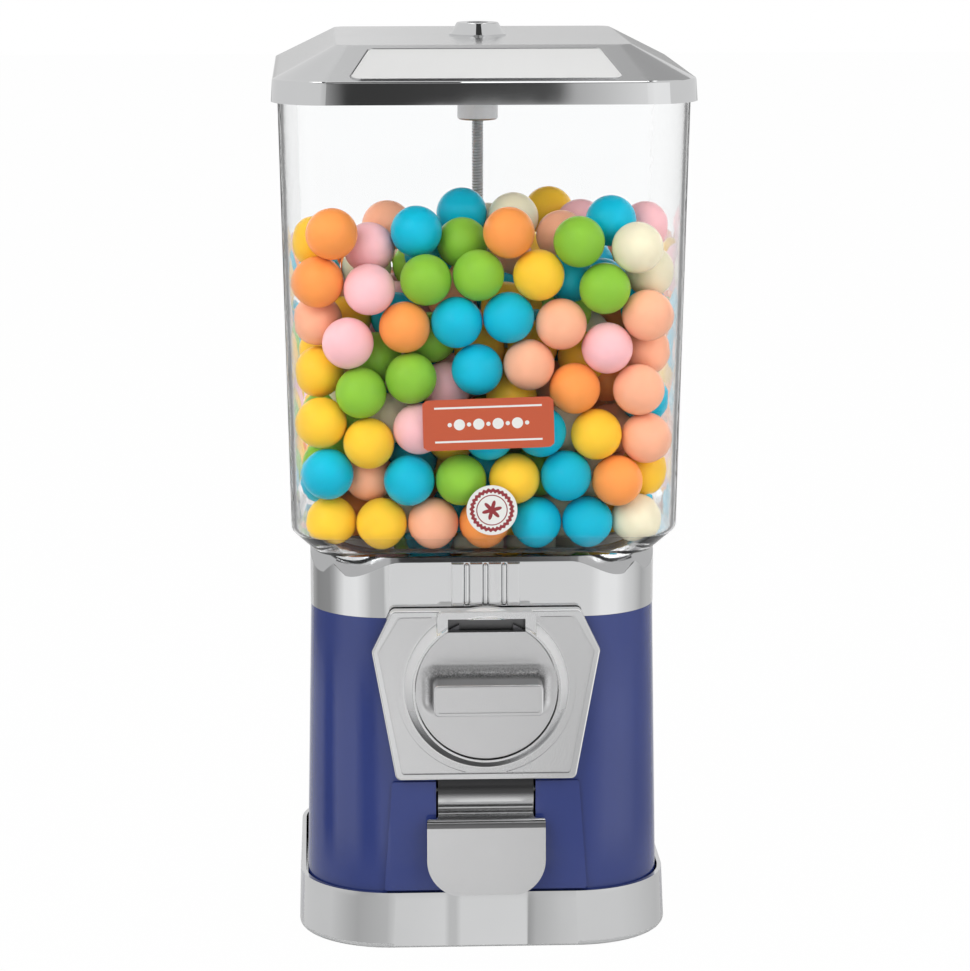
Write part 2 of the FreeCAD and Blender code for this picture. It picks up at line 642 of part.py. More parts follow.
def globe_block(inset):
    """Solid outside of the globe, drawn in by inset; an inset block runs out at the top."""
    foot = GLOBE_FOOT + inset
    top = GLOBE_TOP + inset
    growth = (GLOBE_TOP_WIDTH - GLOBE_WAIST_WIDTH) / (GLOBE_TOP - GLOBE_WAIST) * inset
    chamfer = tapered_block(
        (GLOBE_FOOT_WIDTH - inset, GLOBE_FOOT_CORNER - inset / 2, foot),
        (GLOBE_WAIST_WIDTH - 2 * inset, GLOBE_WAIST_CORNER - inset, GLOBE_WAIST))
    wall = tapered_block(
        (GLOBE_WAIST_WIDTH - 2 * inset, GLOBE_WAIST_CORNER - inset, GLOBE_WAIST),
        (GLOBE_TOP_WIDTH - 2 * inset + growth, GLOBE_TOP_CORNER - inset, top))
    block = chamfer.fuse(wall).removeSplitter()
    return block.makeFillet(GLOBE_WAIST_ROUND - inset / 2, edges_at_height(block, GLOBE_WAIST))


def make_globe():
    """Clear box, open at the top, with a chamfered foot and an opening over the hopper."""
    return globe_block(0).cut(globe_block(GLOBE_WALL)).cut(gasket_opening(GLOBE_FOOT - 1, GLOBE_WAIST))


# Lid and lock

def lid_panel(inset, low, high):
    """Slab on the lid's front slope between two heights above it, drawn in by inset."""
    run = (LID_RIM_WIDTH - LID_TOP_WIDTH) / 2
    slope = math.atan2(LID_SLOPE_HEIGHT, run)
    length = math.hypot(LID_SLOPE_HEIGHT, run)
    up = V(0, math.cos(slope), math.sin(slope))
    out = V(0, -math.sin(slope), math.cos(slope))
    start = V(0, -LID_RIM_WIDTH / 2, LID_RIM_TOP) + out * low
    corners = mirrored([
        (PANEL_TOP_WIDTH / 2 - inset, length - PANEL_MARGIN - inset, PANEL_CORNER - inset),
        (PANEL_FOOT_WIDTH / 2 - inset, PANEL_MARGIN + inset, PANEL_CORNER - inset),
    ])
    wire = rounded_outline(corners, lambda u, v: start + V(u, 0, 0) + up * v)
    return Part.Face(wire).extrude(out * (high - low))


def make_lid():
    """Hipped cap with a flared rim, a framed bare panel in front and a seat for the globe's edge."""
    rim = tapered_block((LID_WIDTH, LID_CORNER, LID_FOOT), (LID_RIM_WIDTH, LID_CORNER, LID_RIM_TOP))
    slope = tapered_block((LID_RIM_WIDTH, LID_CORNER, LID_RIM_TOP), (LID_TOP_WIDTH, LID_TOP_CORNER, LID_TOP))
    cap = rim.fuse(slope).removeSplitter()
    cap = cap.makeFillet(LID_EDGE_ROUND, edges_at_height(cap, LID_TOP) + edges_at_height(cap, LID_RIM_TOP))
    cap = cap.fuse(lid_panel(0, -LID_SHEET / 2, PANEL_RISE))
    cap = cap.cut(lid_panel(PANEL_FRAME, PANEL_RISE - PANEL_FIELD_DEPTH, 2 * PANEL_RISE))
    skirt_width = LID_RIM_WIDTH - 2 * LID_SHEET
    skirt = tapered_block(
        (skirt_width, LID_CORNER - LID_SHEET, LID_FOOT - 1), (skirt_width, LID_CORNER - LID_SHEET, LID_SEAT))
    dome_width = skirt_width - 2 * LID_SEAT_WIDTH
    dome = tapered_block(
        (dome_width, LID_CORNER - LID_SHEET - LID_SEAT_WIDTH, LID_SEAT - 1),
        (LID_TOP_WIDTH - 2 * LID_SHEET, LID_TOP_CORNER - LID_SHEET, LID_CEILING))
    return cap.cut(skirt.fuse(dome)).cut(rod_z(LOCK_NECK_RADIUS, LID_SEAT, LID_TOP + 1))


def make_lid_boss():
    """Post under the lid that takes the rod's top end."""
    boss = rod_z(BOSS_RADIUS, BOSS_FOOT, LID_CEILING)
    boss = boss.makeChamfer(BOSS_CHAMFER, edges_at_height(boss, BOSS_FOOT))
    bore = rod_z(ROD_RADIUS + ROD_HOLE_GAP, BOSS_FOOT - 1, LOCK_NECK_FOOT)
    return boss.cut(bore).cut(rod_z(LOCK_NECK_RADIUS, LOCK_NECK_FOOT, LID_TOP))


def make_lock_washer():
    return rod_z(LOCK_WASHER_RADIUS, LID_TOP, LOCK_FOOT).cut(rod_z(LOCK_NECK_RADIUS, LID_TOP - 1, LOCK_TOP))


def make_lock_housing():
    """Conical lock body whose neck goes down through the lid into the post."""
    cone = Part.makeCone(LOCK_FOOT_RADIUS, LOCK_TOP_RADIUS, LOCK_HEIGHT, V(0, 0, LOCK_FOOT))
    cone = cone.makeFillet(LOCK_PLUG_SUNK, edges_at_height(cone, LOCK_TOP))
    neck = rod_z(LOCK_NECK_RADIUS, LOCK_NECK_FOOT, LOCK_FOOT)
    bore = rod_z(LOCK_PLUG_RADIUS + RUNNING_GAP, LOCK_NECK_FOOT + LOCK_FLOOR, LOCK_TOP + 1)
    return cone.fuse(neck).removeSplitter().cut(bore)


def make_lock_plug():
    """Turning plug with a keyway."""
    top = LOCK_TOP - LOCK_PLUG_SUNK
    plug = rod_z(LOCK_PLUG_RADIUS, LOCK_NECK_FOOT + LOCK_FLOOR + SIDE_GAP, top)
    half = KEYWAY_LENGTH / 2
    return plug.cut(box(-half, half, -KEYWAY_WIDTH / 2, KEYWAY_WIDTH / 2, top - KEYWAY_DEPTH, top + 1))


# Rod and its fasteners

def make_rod():
    rod = rod_z(ROD_RADIUS, ROD_FOOT, ROD_TOP)
    return rod.makeChamfer(ROD_RADIUS / 5, edges_at_height(rod, ROD_FOOT) + edges_at_height(rod, ROD_TOP))


def nut_on_rod(z):
    nut = hexagon(NUT_ACROSS_FLATS, V(0, 0, z), V(0, 0, NUT_HEIGHT))
    return nut.cut(rod_z(ROD_RADIUS, z - 1, z + NUT_HEIGHT + 1))


def washer_on_rod(z):
    return rod_z(WASHER_RADIUS, z, z + WASHER_THICK).cut(rod_z(ROD_RADIUS, z - 1, z + WASHER_THICK + 1))


# Hopper, wheel and chute

def make_hopper():
    """Funnel with a round well for the wheel; slots let the pinion in and a ball out."""
    flange = upright_block(HOPPER_FLANGE_WIDTH, HOPPER_FLANGE_CORNER, HOPPER_SEAT, HOPPER_TOP)
    lean = (HOPPER_CONE_RADIUS - HOPPER_WELL_RADIUS) / HOPPER_CONE_HEIGHT
    outside = Part.makeCone(
        HOPPER_WELL_RADIUS + HOPPER_WALL, HOPPER_CONE_RADIUS + HOPPER_WALL,
        HOPPER_CONE_HEIGHT, V(0, 0, CONE_FOOT))
    well = rod_z(HOPPER_WELL_RADIUS + HOPPER_WALL, HOPPER_FLOOR, CONE_FOOT)
    top_radius = HOPPER_CONE_RADIUS + lean * HOPPER_FLANGE_THICK
    inside = Part.makeCone(
        HOPPER_WELL_RADIUS, top_radius, HOPPER_CONE_HEIGHT + HOPPER_FLANGE_THICK, V(0, 0, CONE_FOOT))
    hollow = rod_z(HOPPER_WELL_RADIUS, HOPPER_FLOOR_TOP, CONE_FOOT)
    drop = rod_z(DROP_HOLE_RADIUS, HOPPER_FLOOR - 1, HOPPER_FLOOR_TOP + 1, DROP_X, DROP_Y)
    rod_hole = rod_z(ROD_RADIUS + ROD_HOLE_GAP, HOPPER_FLOOR - 1, HOPPER_FLOOR_TOP + 1)
    reach = PINION_RADIUS + 2 * SIDE_GAP
    slot = box(-reach, reach, PINION_FRONT - 2, PINION_BACK + 2, HOPPER_FLOOR - 1, HOPPER_FLOOR_TOP + 1)
    shell = fuse([flange, outside, well]).cut(fuse([inside, hollow]))
    return shell.cut(fuse([drop, rod_hole, slot]))


def crown_tooth():
    """One radial tooth under the wheel, at the front over the pinion, wider towards its root."""
    pitch = math.pi * GEAR_MODULE
    lean = math.tan(math.radians(TOOTH_FLANK_ANGLE))
    half = TOOTH_SHARE * pitch / 2
    tip = half - TOOTH_ADDENDUM * lean
    root = half + TOOTH_DEDENDUM * lean
    outlines = []
    for radius in (CROWN_RADIUS - CROWN_FACE / 2, CROWN_RADIUS + CROWN_FACE / 2):
        share = radius / CROWN_RADIUS
        top = CROWN_ROOT + SIDE_GAP
        points = [
            (-tip * share, CROWN_TIP), (tip * share, CROWN_TIP), (root * share, top), (-root * share, top)]
        outlines.append(Part.makePolygon([V(x, -radius, z) for x, z in points + points[:1]]))
    return Part.makeLoft(outlines, True, True)


def make_wheel():
    """Dispensing wheel: ball pockets round a conical hub, crown-gear teeth underneath."""
    disc = rod_z(WHEEL_RADIUS, CROWN_ROOT, WHEEL_TOP)
    hub = Part.makeCone(HUB_FOOT_RADIUS, HUB_TOP_RADIUS, HUB_RISE, V(0, 0, WHEEL_TOP))
    foot = rod_z(HUB_TOP_RADIUS, HOPPER_FLOOR_TOP + SIDE_GAP, CROWN_ROOT)
    wheel = fuse([disc, hub, foot])
    for i in range(POCKET_COUNT):
        angle = math.radians(DROP_HOLE_ANGLE + 360 / POCKET_COUNT * (i + 0.5))
        x = POCKET_CIRCLE * math.cos(angle)
        y = POCKET_CIRCLE * math.sin(angle)
        pocket = rod_z(POCKET_RADIUS, CROWN_ROOT - 1, WHEEL_TOP + HUB_RISE, x, y)
        mouth = V(x, y, WHEEL_TOP - POCKET_LEAD_IN)
        lead_in = Part.makeCone(POCKET_RADIUS, POCKET_RADIUS + POCKET_LEAD_IN, POCKET_LEAD_IN, mouth)
        wheel = wheel.cut(pocket).cut(lead_in)
    teeth = []
    tooth = crown_tooth()
    for i in range(CROWN_TEETH):
        turned = tooth.copy()
        turned.rotate(V(0, 0, 0), V(0, 0, 1), 360 / CROWN_TEETH * i)
        teeth.append(turned)
    return wheel.multiFuse(teeth).cut(rod_z(ROD_RADIUS + RUNNING_GAP, HOPPER_FLOOR, HUB_TOP + 1))


def make_guard():
    """Fixed sector over the drop hole that keeps other balls off the pocket being emptied."""
    low = WHEEL_TOP + GUARD_GAP
    ring = rod_z(HOPPER_WELL_RADIUS, low, low + GUARD_THICK).cut(
        rod_z(GUARD_INNER_RADIUS, low - 1, low + GUARD_THICK + 1))
    sector = Part.makeCylinder(
        HOPPER_CONE_RADIUS, 4 * GUARD_THICK, V(0, 0, low - GUARD_THICK), V(0, 0, 1), GUARD_SPREAD)
    sector.rotate(V(0, 0, 0), V(0, 0, 1), DROP_HOLE_ANGLE - GUARD_SPREAD / 2)
    return ring.common(sector)


def chute_corner():
    """Where drop tube and chute tube meet: the corner, the slope from there to the mouth, the mitre cut."""
    corner = V(DROP_X, DROP_Y, CHUTE_BEND_Z)
    slope = V(0, -BODY_FOOT_WIDTH / 2, CHUTE_MOUTH_Z) - corner
    slope.normalize()
    mitre = slope + V(0, 0, -1)
    mitre.normalize()
    beyond = Part.makeCylinder(BODY_FOOT_WIDTH, BODY_FOOT_WIDTH, corner, mitre)
    return corner, slope, beyond


def tube(start, along, length):
    outside = Part.makeCylinder(DROP_HOLE_RADIUS + CHUTE_WALL, length, start, along)
    return outside.cut(Part.makeCylinder(DROP_HOLE_RADIUS, length, start, along))


def make_drop_tube():
    """Upright tube under the drop hole, mitred where the slope begins."""
    corner, slope, beyond = chute_corner()
    foot = CHUTE_BEND_Z - 2 * DROP_HOLE_RADIUS
    return tube(V(DROP_X, DROP_Y, foot), V(0, 0, 1), HOPPER_FLOOR - foot).cut(beyond)


def make_chute_tube():
    """Sloping tube to the mouth, cut off upright behind the body's front wall."""
    corner, slope, beyond = chute_corner()
    sloped = tube(corner - slope * 2 * DROP_HOLE_RADIUS, slope, BODY_FOOT_WIDTH)
    front = -(body_half(CHUTE_MOUTH_Z) - BODY_WALL - CHUTE_SET_BACK)
    trim = box(-BODY_FOOT_WIDTH, BODY_FOOT_WIDTH, -2 * BODY_FOOT_WIDTH, front, -BODY_FOOT_WIDTH, SEAM)
    return sloped.common(beyond).cut(trim)


# Flap

def flap_line():
    """Side view of the flap sheet's middle: roll about the hinge, crease, fold, then the plate."""
    radius = FLAP_ROLL_RADIUS - FLAP_SHEET / 2

    def on_roll(degrees):
        angle = math.radians(degrees)
        return FLAP_HINGE_Y - radius * math.cos(angle), FLAP_HINGE_Z + radius * math.sin(angle)

    end_y, end_z = on_roll(FLAP_ROLL_FOOT_ANGLE)
    crease = (end_y + FLAP_CREASE_IN, end_z - FLAP_CREASE_DROP)
    fold = (FLAP_HINGE_Y - FLAP_ROLL_RADIUS - FLAP_FOLD_OUT + FLAP_SHEET, FLAP_HINGE_Z - FLAP_FOLD_DROP)
    foot = (fold[0] - FLAP_LEAN, FLAP_BOTTOM + FLAP_SHEET / 2)
    arc = Part.Arc(*[V(0, *on_roll(a)) for a in (
        FLAP_ROLL_TOP_ANGLE, (FLAP_ROLL_TOP_ANGLE + FLAP_ROLL_FOOT_ANGLE) / 2, FLAP_ROLL_FOOT_ANGLE)])
    edges = [arc.toShape()]
    here = V(0, end_y, end_z)
    turns = [(crease, FLAP_CREASE_ROUND, fold), (fold, FLAP_FOLD_ROUND, foot)]
    for (y, z), radius, following in turns:
        corner = V(0, y, z)
        before = here - corner
        after = V(0, *following) - corner
        before.normalize()
        after.normalize()
        half = before.getAngle(after) / 2
        inward = before + after
        inward.normalize()
        back = radius / math.tan(half)
        middle = corner + inward * (radius / math.sin(half) - radius)
        edges.append(Part.LineSegment(here, corner + before * back).toShape())
        edges.append(Part.Arc(corner + before * back, middle, corner + after * back).toShape())
        here = corner + after * back
    edges.append(Part.LineSegment(here, V(0, *foot)).toShape())
    return Part.Wire(edges)


def make_flap():
    """Bent sheet flap: a neck rolled about the hinge pin, two end discs and a round-cornered plate."""
    section = flap_line().makeOffset2D(FLAP_SHEET / 2, join=0, fill=True, openResult=True)
    sheet = section.extrude(V(FLAP_WIDTH, 0, 0))
    sheet.translate(V(-FLAP_WIDTH / 2, 0, 0))
    neck = FLAP_NECK_WIDTH / 2
    half = FLAP_WIDTH / 2
    outline = mirrored([
        (neck, FLAP_HINGE_Z + 2 * FLAP_ROLL_RADIUS, 0),
        (neck, FLAP_SHOULDER, FLAP_SHOULDER_ROUND),
        (half, FLAP_SHOULDER, FLAP_SHOULDER_ROUND),
        (half, FLAP_BOTTOM, FLAP_CORNER),
    ])
    sheet = sheet.common(front_prism(outline, -BODY_FOOT_WIDTH, 0))
    pieces = [sheet]
    cheek = FLAP_ROLL_RADIUS - FLAP_SHEET / 2
    for side in (-neck, neck - FLAP_SHEET):
        pieces.append(rod_x(cheek, side, side + FLAP_SHEET, FLAP_HINGE_Y, FLAP_HINGE_Z))
    hole = rod_x(HINGE_PIN_RADIUS + RUNNING_GAP, -half, half, FLAP_HINGE_Y, FLAP_HINGE_Z)
    return fuse(pieces).cut(hole)


def ear_outer():
    return FLAP_NECK_WIDTH / 2 + EAR_GAP + EAR_THICK + (MOUTH_WIDTH - FLAP_NECK_WIDTH) / 2


def make_hinge_ears():
    """Two bent ears behind the mouth that carry the flap's pin, seated on the front wall."""
    low = FLAP_HINGE_Z - EAR_HEIGHT / 2
    high = FLAP_HINGE_Z + EAR_HEIGHT / 2
    back = FLAP_HINGE_Y + EAR_DEPTH / 2
    outer = ear_outer()
    ears = []
    for side in (-1, 1):
        near, far = sorted((side * (outer - EAR_THICK), side * outer))
        web = box(near, far, -BODY_FOOT_WIDTH, back, low, high)
        near, far = sorted((side * (outer - EAR_THICK), side * (outer + EAR_FOOT)))
        foot = box(near, far, -BODY_FOOT_WIDTH, -(body_half(low) - BODY_WALL - EAR_THICK), low, high)
        ears.append(fuse([web, foot]).common(body_block(BODY_WALL)))
    hole = rod_x(HINGE_PIN_RADIUS, -FLAP_WIDTH, FLAP_WIDTH, FLAP_HINGE_Y, FLAP_HINGE_Z)
    return Part.makeCompound([ear.cut(hole) for ear in ears])


def make_hinge_pin():
    reach = ear_outer() + EAR_GAP
    return rod_x(HINGE_PIN_RADIUS, -reach, reach, FLAP_HINGE_Y, FLAP_HINGE_Z)


# Coin mechanism

def plate_outline(inset, corner):
    """Six-sided plate outline, drawn in by inset."""
    return mirrored([
        (PLATE_TOP_WIDTH / 2 - inset, PLATE_TOP - inset, corner),
        (PLATE_SHOULDER_WIDTH / 2 - inset, PLATE_SHOULDER, corner),
        (PLATE_BOTTOM_WIDTH / 2 - inset, PLATE_BOTTOM + inset, corner),
    ])


def bezel():
    """Bevelled ring round the dial, revolved about the dial's axis."""
    profile = [
        (BEZEL_BORE, PLATE_BACK - PLATE_THICK / 2), (BEZEL_RADIUS, PLATE_BACK - PLATE_THICK / 2),
        (BEZEL_RADIUS, PLATE_FRONT - BEZEL_LAND), (BEZEL_FRONT_RADIUS, BEZEL_FRONT),
        (BEZEL_BORE, BEZEL_FRONT),
    ]
    points = [V(r, y, DIAL_AXIS_Z) for r, y in profile]
    return Part.Face(Part.makePolygon(points + points[:1])).revolve(V(0, 0, DIAL_AXIS_Z), V(0, 1, 0), 360)


def make_mech_plate():
    """Front plate casting: raised frame, relief pads, dial bezel, coin slot hood and rear bosses."""
    plate = front_prism(plate_outline(0, PLATE_CORNER), PLATE_FRONT, PLATE_BACK)
    rim = front_prism(plate_outline(0, PLATE_CORNER), PLATE_FRONT - FRAME_RISE, PLATE_FRONT)
    lip = [e for e in rim.Edges if all(abs(p.Y - PLATE_FRONT + FRAME_RISE) < 1e-4 for p in e.Vertexes)]
    rim = rim.makeFillet(FRAME_RISE * 0.8, lip)
    field_outline = plate_outline(FRAME_WIDTH, PLATE_CORNER / 2)
    field = front_prism(field_outline, PLATE_FRONT - 2 * FRAME_RISE, PLATE_FRONT)
    pads_outline = plate_outline(FRAME_WIDTH + FRAME_GROOVE, PLATE_CORNER)
    pads = front_prism(pads_outline, PLATE_FRONT - PAD_RISE, PLATE_FRONT)
    pads = pads.cut(rod_y(PAD_CIRCLE_RADIUS, PLATE_FRONT - 2 * PAD_RISE, PLATE_FRONT))
    slot = SLOT_WIDTH / 2
    cheek = slot + HOOD_CHEEK
    pads = pads.cut(box(-cheek, cheek, PLATE_FRONT - 2 * PAD_RISE, PLATE_FRONT, DIAL_AXIS_Z, PLATE_TOP))
    hood = front_prism(mirrored([
        (cheek, PLATE_TOP, PLATE_CORNER), (cheek, PLATE_TOP - HOOD_CHEEK_LENGTH, 0),
    ]), BEZEL_FRONT + FRAME_RISE, PLATE_FRONT)
    back_bosses = [rod_y(BEARING_RADIUS, PLATE_BACK, BEARING_BACK)]
    dog_x, dog_z = polar(DOG_OFFSET, DOG_ANGLE)
    dog_end = RECESS_FLOOR + COIN_WHEEL_GAP + DOG_LENGTH + DOG_TRAVEL_ROOM
    back_bosses.append(rod_y(DOG_BOSS_RADIUS, PLATE_BACK, dog_end, dog_x, dog_z))
    for x, z in stud_places():
        back_bosses.append(rod_y(STUD_RADIUS, PLATE_BACK - 1, PLATE_BACK + STUD_REACH, x, z))
    solid = fuse([plate, rim.cut(field), pads, bezel(), hood] + back_bosses)
    exit_x, exit_z = polar(COIN_EXIT_OFFSET, COIN_EXIT_ANGLE)
    pin_x, pin_z = polar(PAWL_PIVOT_OFFSET, PAWL_PIVOT_ANGLE)
    slot_top = PLATE_TOP - HOOD_THICK
    cuts = [
        rod_y(BEZEL_BORE, 2 * BEZEL_FRONT, RECESS_FLOOR),
        box(-slot, slot, 2 * BEZEL_FRONT, RECESS_FLOOR, DIAL_AXIS_Z, slot_top),
        rod_y(SHAFT_RADIUS + RUNNING_GAP, 2 * BEZEL_FRONT, 0),
        rod_y(COIN_EXIT_RADIUS, 2 * BEZEL_FRONT, PLATE_BACK + 1, exit_x, exit_z),
        rod_y(DOG_RADIUS + RUNNING_GAP, 2 * BEZEL_FRONT, dog_end + 1, dog_x, dog_z),
        rod_y(PAWL_PIN_RADIUS, PLATE_BACK - 2, PLATE_BACK + 1, pin_x, pin_z),
    ]
    return solid.cut(fuse(cuts))


def make_dial():
    """Dial disc with a flat on top and a grip bar across it, its roots widely rounded."""
    disc = rod_y(DIAL_RADIUS, DIAL_FRONT, COIN_WHEEL_FRONT)
    chord = DIAL_AXIS_Z + DIAL_CHORD
    disc = disc.cut(box(-DIAL_RADIUS, DIAL_RADIUS, 2 * DIAL_FRONT, 0, chord, chord + DIAL_RADIUS))
    half = BAR_LENGTH / 2
    top = DIAL_AXIS_Z + BAR_HEIGHT / 2
    low = DIAL_AXIS_Z - BAR_HEIGHT / 2
    bar = front_prism(mirrored([(half, top, BAR_CORNER), (half, low, BAR_CORNER)]), BAR_FRONT, DIAL_FRONT)
    dial = disc.fuse(bar).removeSplitter()
    root = [e for e in dial.Edges if all(
        abs(p.Y - DIAL_FRONT) < 1e-4 and abs(p.Z - DIAL_AXIS_Z) < BAR_HEIGHT / 2 + 0.01
        and abs(p.X) < half + 0.01 for p in e.Vertexes)]
    dial = dial.makeFillet(BAR_ROOT_ROUND, root)
    lip = [e for e in dial.Edges if all(abs(p.Y - BAR_FRONT) < 1e-4 for p in e.Vertexes)]
    dial = dial.makeFillet(BAR_EDGE_ROUND, lip)
    margin = BAR_FIELD_MARGIN
    field = front_prism(mirrored([
        (half - margin, top - margin, BAR_CORNER / 2), (half - margin, low + margin, BAR_CORNER / 2),
    ]), BAR_FRONT - 1, BAR_FRONT + BAR_FIELD_DEPTH)
    return dial.cut(field).cut(rod_y(SHAFT_RADIUS, COIN_WHEEL_FRONT - SHAFT_SEAT_IN_DIAL, 0))


def make_coin_wheel():
    """Carrier disc behind the dial with one coin pocket open at the top."""
    disc = rod_y(COIN_WHEEL_RADIUS, COIN_WHEEL_FRONT, COIN_WHEEL_BACK)
    half = COIN_POCKET_WIDTH / 2
    middle = DIAL_AXIS_Z + DIAL_CHORD - COIN_POCKET_DEPTH + half
    pocket = rod_y(half, 2 * COIN_WHEEL_FRONT, 0, 0, middle)
    throat = box(-half, half, 2 * COIN_WHEEL_FRONT, 0, middle, middle + COIN_WHEEL_RADIUS)
    return disc.cut(pocket.fuse(throat)).cut(rod_y(SHAFT_RADIUS, 2 * COIN_WHEEL_FRONT, 0))


def make_shaft():
    """Stepped shaft from the dial to the pinion, threaded at its inner end."""
    journal = rod_y(SHAFT_RADIUS, COIN_WHEEL_FRONT - SHAFT_SEAT_IN_DIAL, PINION_BACK)
    return journal.fuse(rod_y(ROD_RADIUS, PINION_BACK, SHAFT_NUT_BACK + 1)).removeSplitter()


def make_ratchet_wheel():
    """Saw-tooth wheel that stops the dial from being turned back."""
    points = []
    step = 360 / RATCHET_TEETH
    for i in range(RATCHET_TEETH):
        points.append(polar(RATCHET_RADIUS, step * i))
        points.append(polar(RATCHET_ROOT, step * i + 0.12 * step))
    wire = Part.makePolygon([V(x, RATCHET_FRONT, z) for x, z in points + points[:1]])
    wheel = Part.Face(wire).extrude(V(0, RATCHET_THICK, 0))
    return wheel.cut(rod_y(SHAFT_RADIUS, 2 * RATCHET_FRONT, 0))


def pawl_nose():
    return polar(RATCHET_RADIUS + PAWL_NOSE_RADIUS + PAWL_NOSE_GAP, PAWL_NOSE_ANGLE)


def make_pawl():
    """Tapered lever from its pin to just clear of the ratchet's teeth."""
    pin = V(*polar(PAWL_PIVOT_OFFSET, PAWL_PIVOT_ANGLE), 0)
    nose = V(*pawl_nose(), 0)
    along = nose - pin
    side = V(-along.y, along.x, 0)
    side.normalize()
    points = [
        pin + side * PAWL_HUB_RADIUS, nose + side * PAWL_NOSE_RADIUS,
        nose - side * PAWL_NOSE_RADIUS, pin - side * PAWL_HUB_RADIUS,
    ]
    wire = Part.makePolygon([V(p.x, RATCHET_FRONT, p.y) for p in points + points[:1]])
    arm = Part.Face(wire).extrude(V(0, RATCHET_THICK, 0))
    hub = rod_y(PAWL_HUB_RADIUS, RATCHET_FRONT, RATCHET_BACK, pin.x, pin.y)
    tip = rod_y(PAWL_NOSE_RADIUS, RATCHET_FRONT, RATCHET_BACK, nose.x, nose.y)
    return fuse([arm, hub, tip]).cut(rod_y(PAWL_PIN_RADIUS + RUNNING_GAP, 2 * RATCHET_FRONT, 0, pin.x, pin.y))


def make_pawl_pin():
    """Headed pin pressed into the plate, with a shoulder in front of the pawl."""
    x, z = polar(PAWL_PIVOT_OFFSET, PAWL_PIVOT_ANGLE)
    shank = rod_y(PAWL_PIN_RADIUS, PLATE_BACK - 2, RATCHET_BACK + SIDE_GAP, x, z)
    shoulder = rod_y(PAWL_PIN_HEAD, PLATE_BACK, RATCHET_FRONT - SIDE_GAP, x, z)
    head = rod_y(PAWL_PIN_HEAD, RATCHET_BACK + SIDE_GAP, RATCHET_BACK + SIDE_GAP + 1.2, x, z)
    return fuse([shank, shoulder, head])


def make_pawl_spring():
    """Torsion spring round the pin's shoulder, drawn as the sleeve its coils fill."""
    x, z = polar(PAWL_PIVOT_OFFSET, PAWL_PIVOT_ANGLE)
    inner = PAWL_PIN_HEAD + SPRING_GAP
    start = PLATE_BACK + SIDE_GAP
    end = RATCHET_FRONT - 2 * SIDE_GAP
    return rod_y(inner + SPRING_WIRE, start, end, x, z).cut(rod_y(inner, start - 1, end + 1, x, z))


def make_coin_dog():
    """Sprung pin behind the coin wheel that feels for the coin."""
    x, z = polar(DOG_OFFSET, DOG_ANGLE)
    start = RECESS_FLOOR + COIN_WHEEL_GAP
    pin = rod_y(DOG_RADIUS, start, start + DOG_LENGTH, x, z)
    nose = [e for e in pin.Edges if len(e.Vertexes) == 1 and abs(e.Vertexes[0].Y - start) < 1e-4]
    return pin.makeFillet(DOG_RADIUS / 2, nose)


def make_dog_spring():
    x, z = polar(DOG_OFFSET, DOG_ANGLE)
    start = RECESS_FLOOR + COIN_WHEEL_GAP + DOG_LENGTH
    sleeve = rod_y(DOG_RADIUS * 0.8, start, start + DOG_TRAVEL_ROOM, x, z)
    return sleeve.cut(rod_y(DOG_RADIUS * 0.5, start - 1, start + DOG_TRAVEL_ROOM + 1, x, z))


def make_dog_cap():
    x, z = polar(DOG_OFFSET, DOG_ANGLE)
    start = RECESS_FLOOR + COIN_WHEEL_GAP + DOG_LENGTH + DOG_TRAVEL_ROOM
    return rod_y(DOG_BOSS_RADIUS, start, start + DOG_CAP_THICK, x, z)


def make_drive_gear():
    """Straight-flanked pinion whose top tooth space takes the crown tooth over it."""
    pitch_angle = 360 / PINION_TEETH
    root = PINION_RADIUS - TOOTH_DEDENDUM
    tip = PINION_RADIUS + TOOTH_ADDENDUM
    share = TOOTH_SHARE * 0.5 * pitch_angle
    lean = math.degrees(math.tan(math.radians(TOOTH_FLANK_ANGLE)) / PINION_RADIUS)
    points = []
    for i in range(PINION_TEETH):
        middle = 90 + pitch_angle * (i + 0.5)
        wide = share + lean * TOOTH_DEDENDUM
        narrow = share - lean * TOOTH_ADDENDUM
        for radius, turn in ((root, -wide), (tip, -narrow), (tip, narrow), (root, wide)):
            points.append(polar(radius, middle + turn))
    wire = Part.makePolygon([V(x, PINION_FRONT, z) for x, z in points + points[:1]])
    return Part.Face(wire).extrude(V(0, PINION_FACE, 0)).cut(rod_y(SHAFT_RADIUS, 2 * PINION_FRONT, 0))


def make_shaft_nut():
    nut = hexagon(NUT_ACROSS_FLATS, V(0, PINION_BACK, DIAL_AXIS_Z), V(0, NUT_HEIGHT, 0))
    return nut.cut(rod_y(ROD_RADIUS, PINION_BACK - 1, SHAFT_NUT_BACK + 1))


def make_mech_nuts():
    """Nuts that clamp the plate's studs from inside the body."""
    nuts = []
    for x, z in stud_places():
        seat = -(body_half(z + STUD_NUT_FLATS) - BODY_WALL) + 0.05
        nut = hexagon(STUD_NUT_FLATS, V(x, seat, z), V(0, STUD_NUT_HEIGHT, 0))
        nuts.append(nut.cut(rod_y(STUD_RADIUS, 2 * seat, 0, x, z)))
    return Part.makeCompound(nuts)


# Gumballs

def globe_inner_half(z):
    share = (z - GLOBE_WAIST) / (GLOBE_TOP - GLOBE_WAIST)
    return (GLOBE_WAIST_WIDTH + (GLOBE_TOP_WIDTH - GLOBE_WAIST_WIDTH) * share) / 2 - GLOBE_WALL


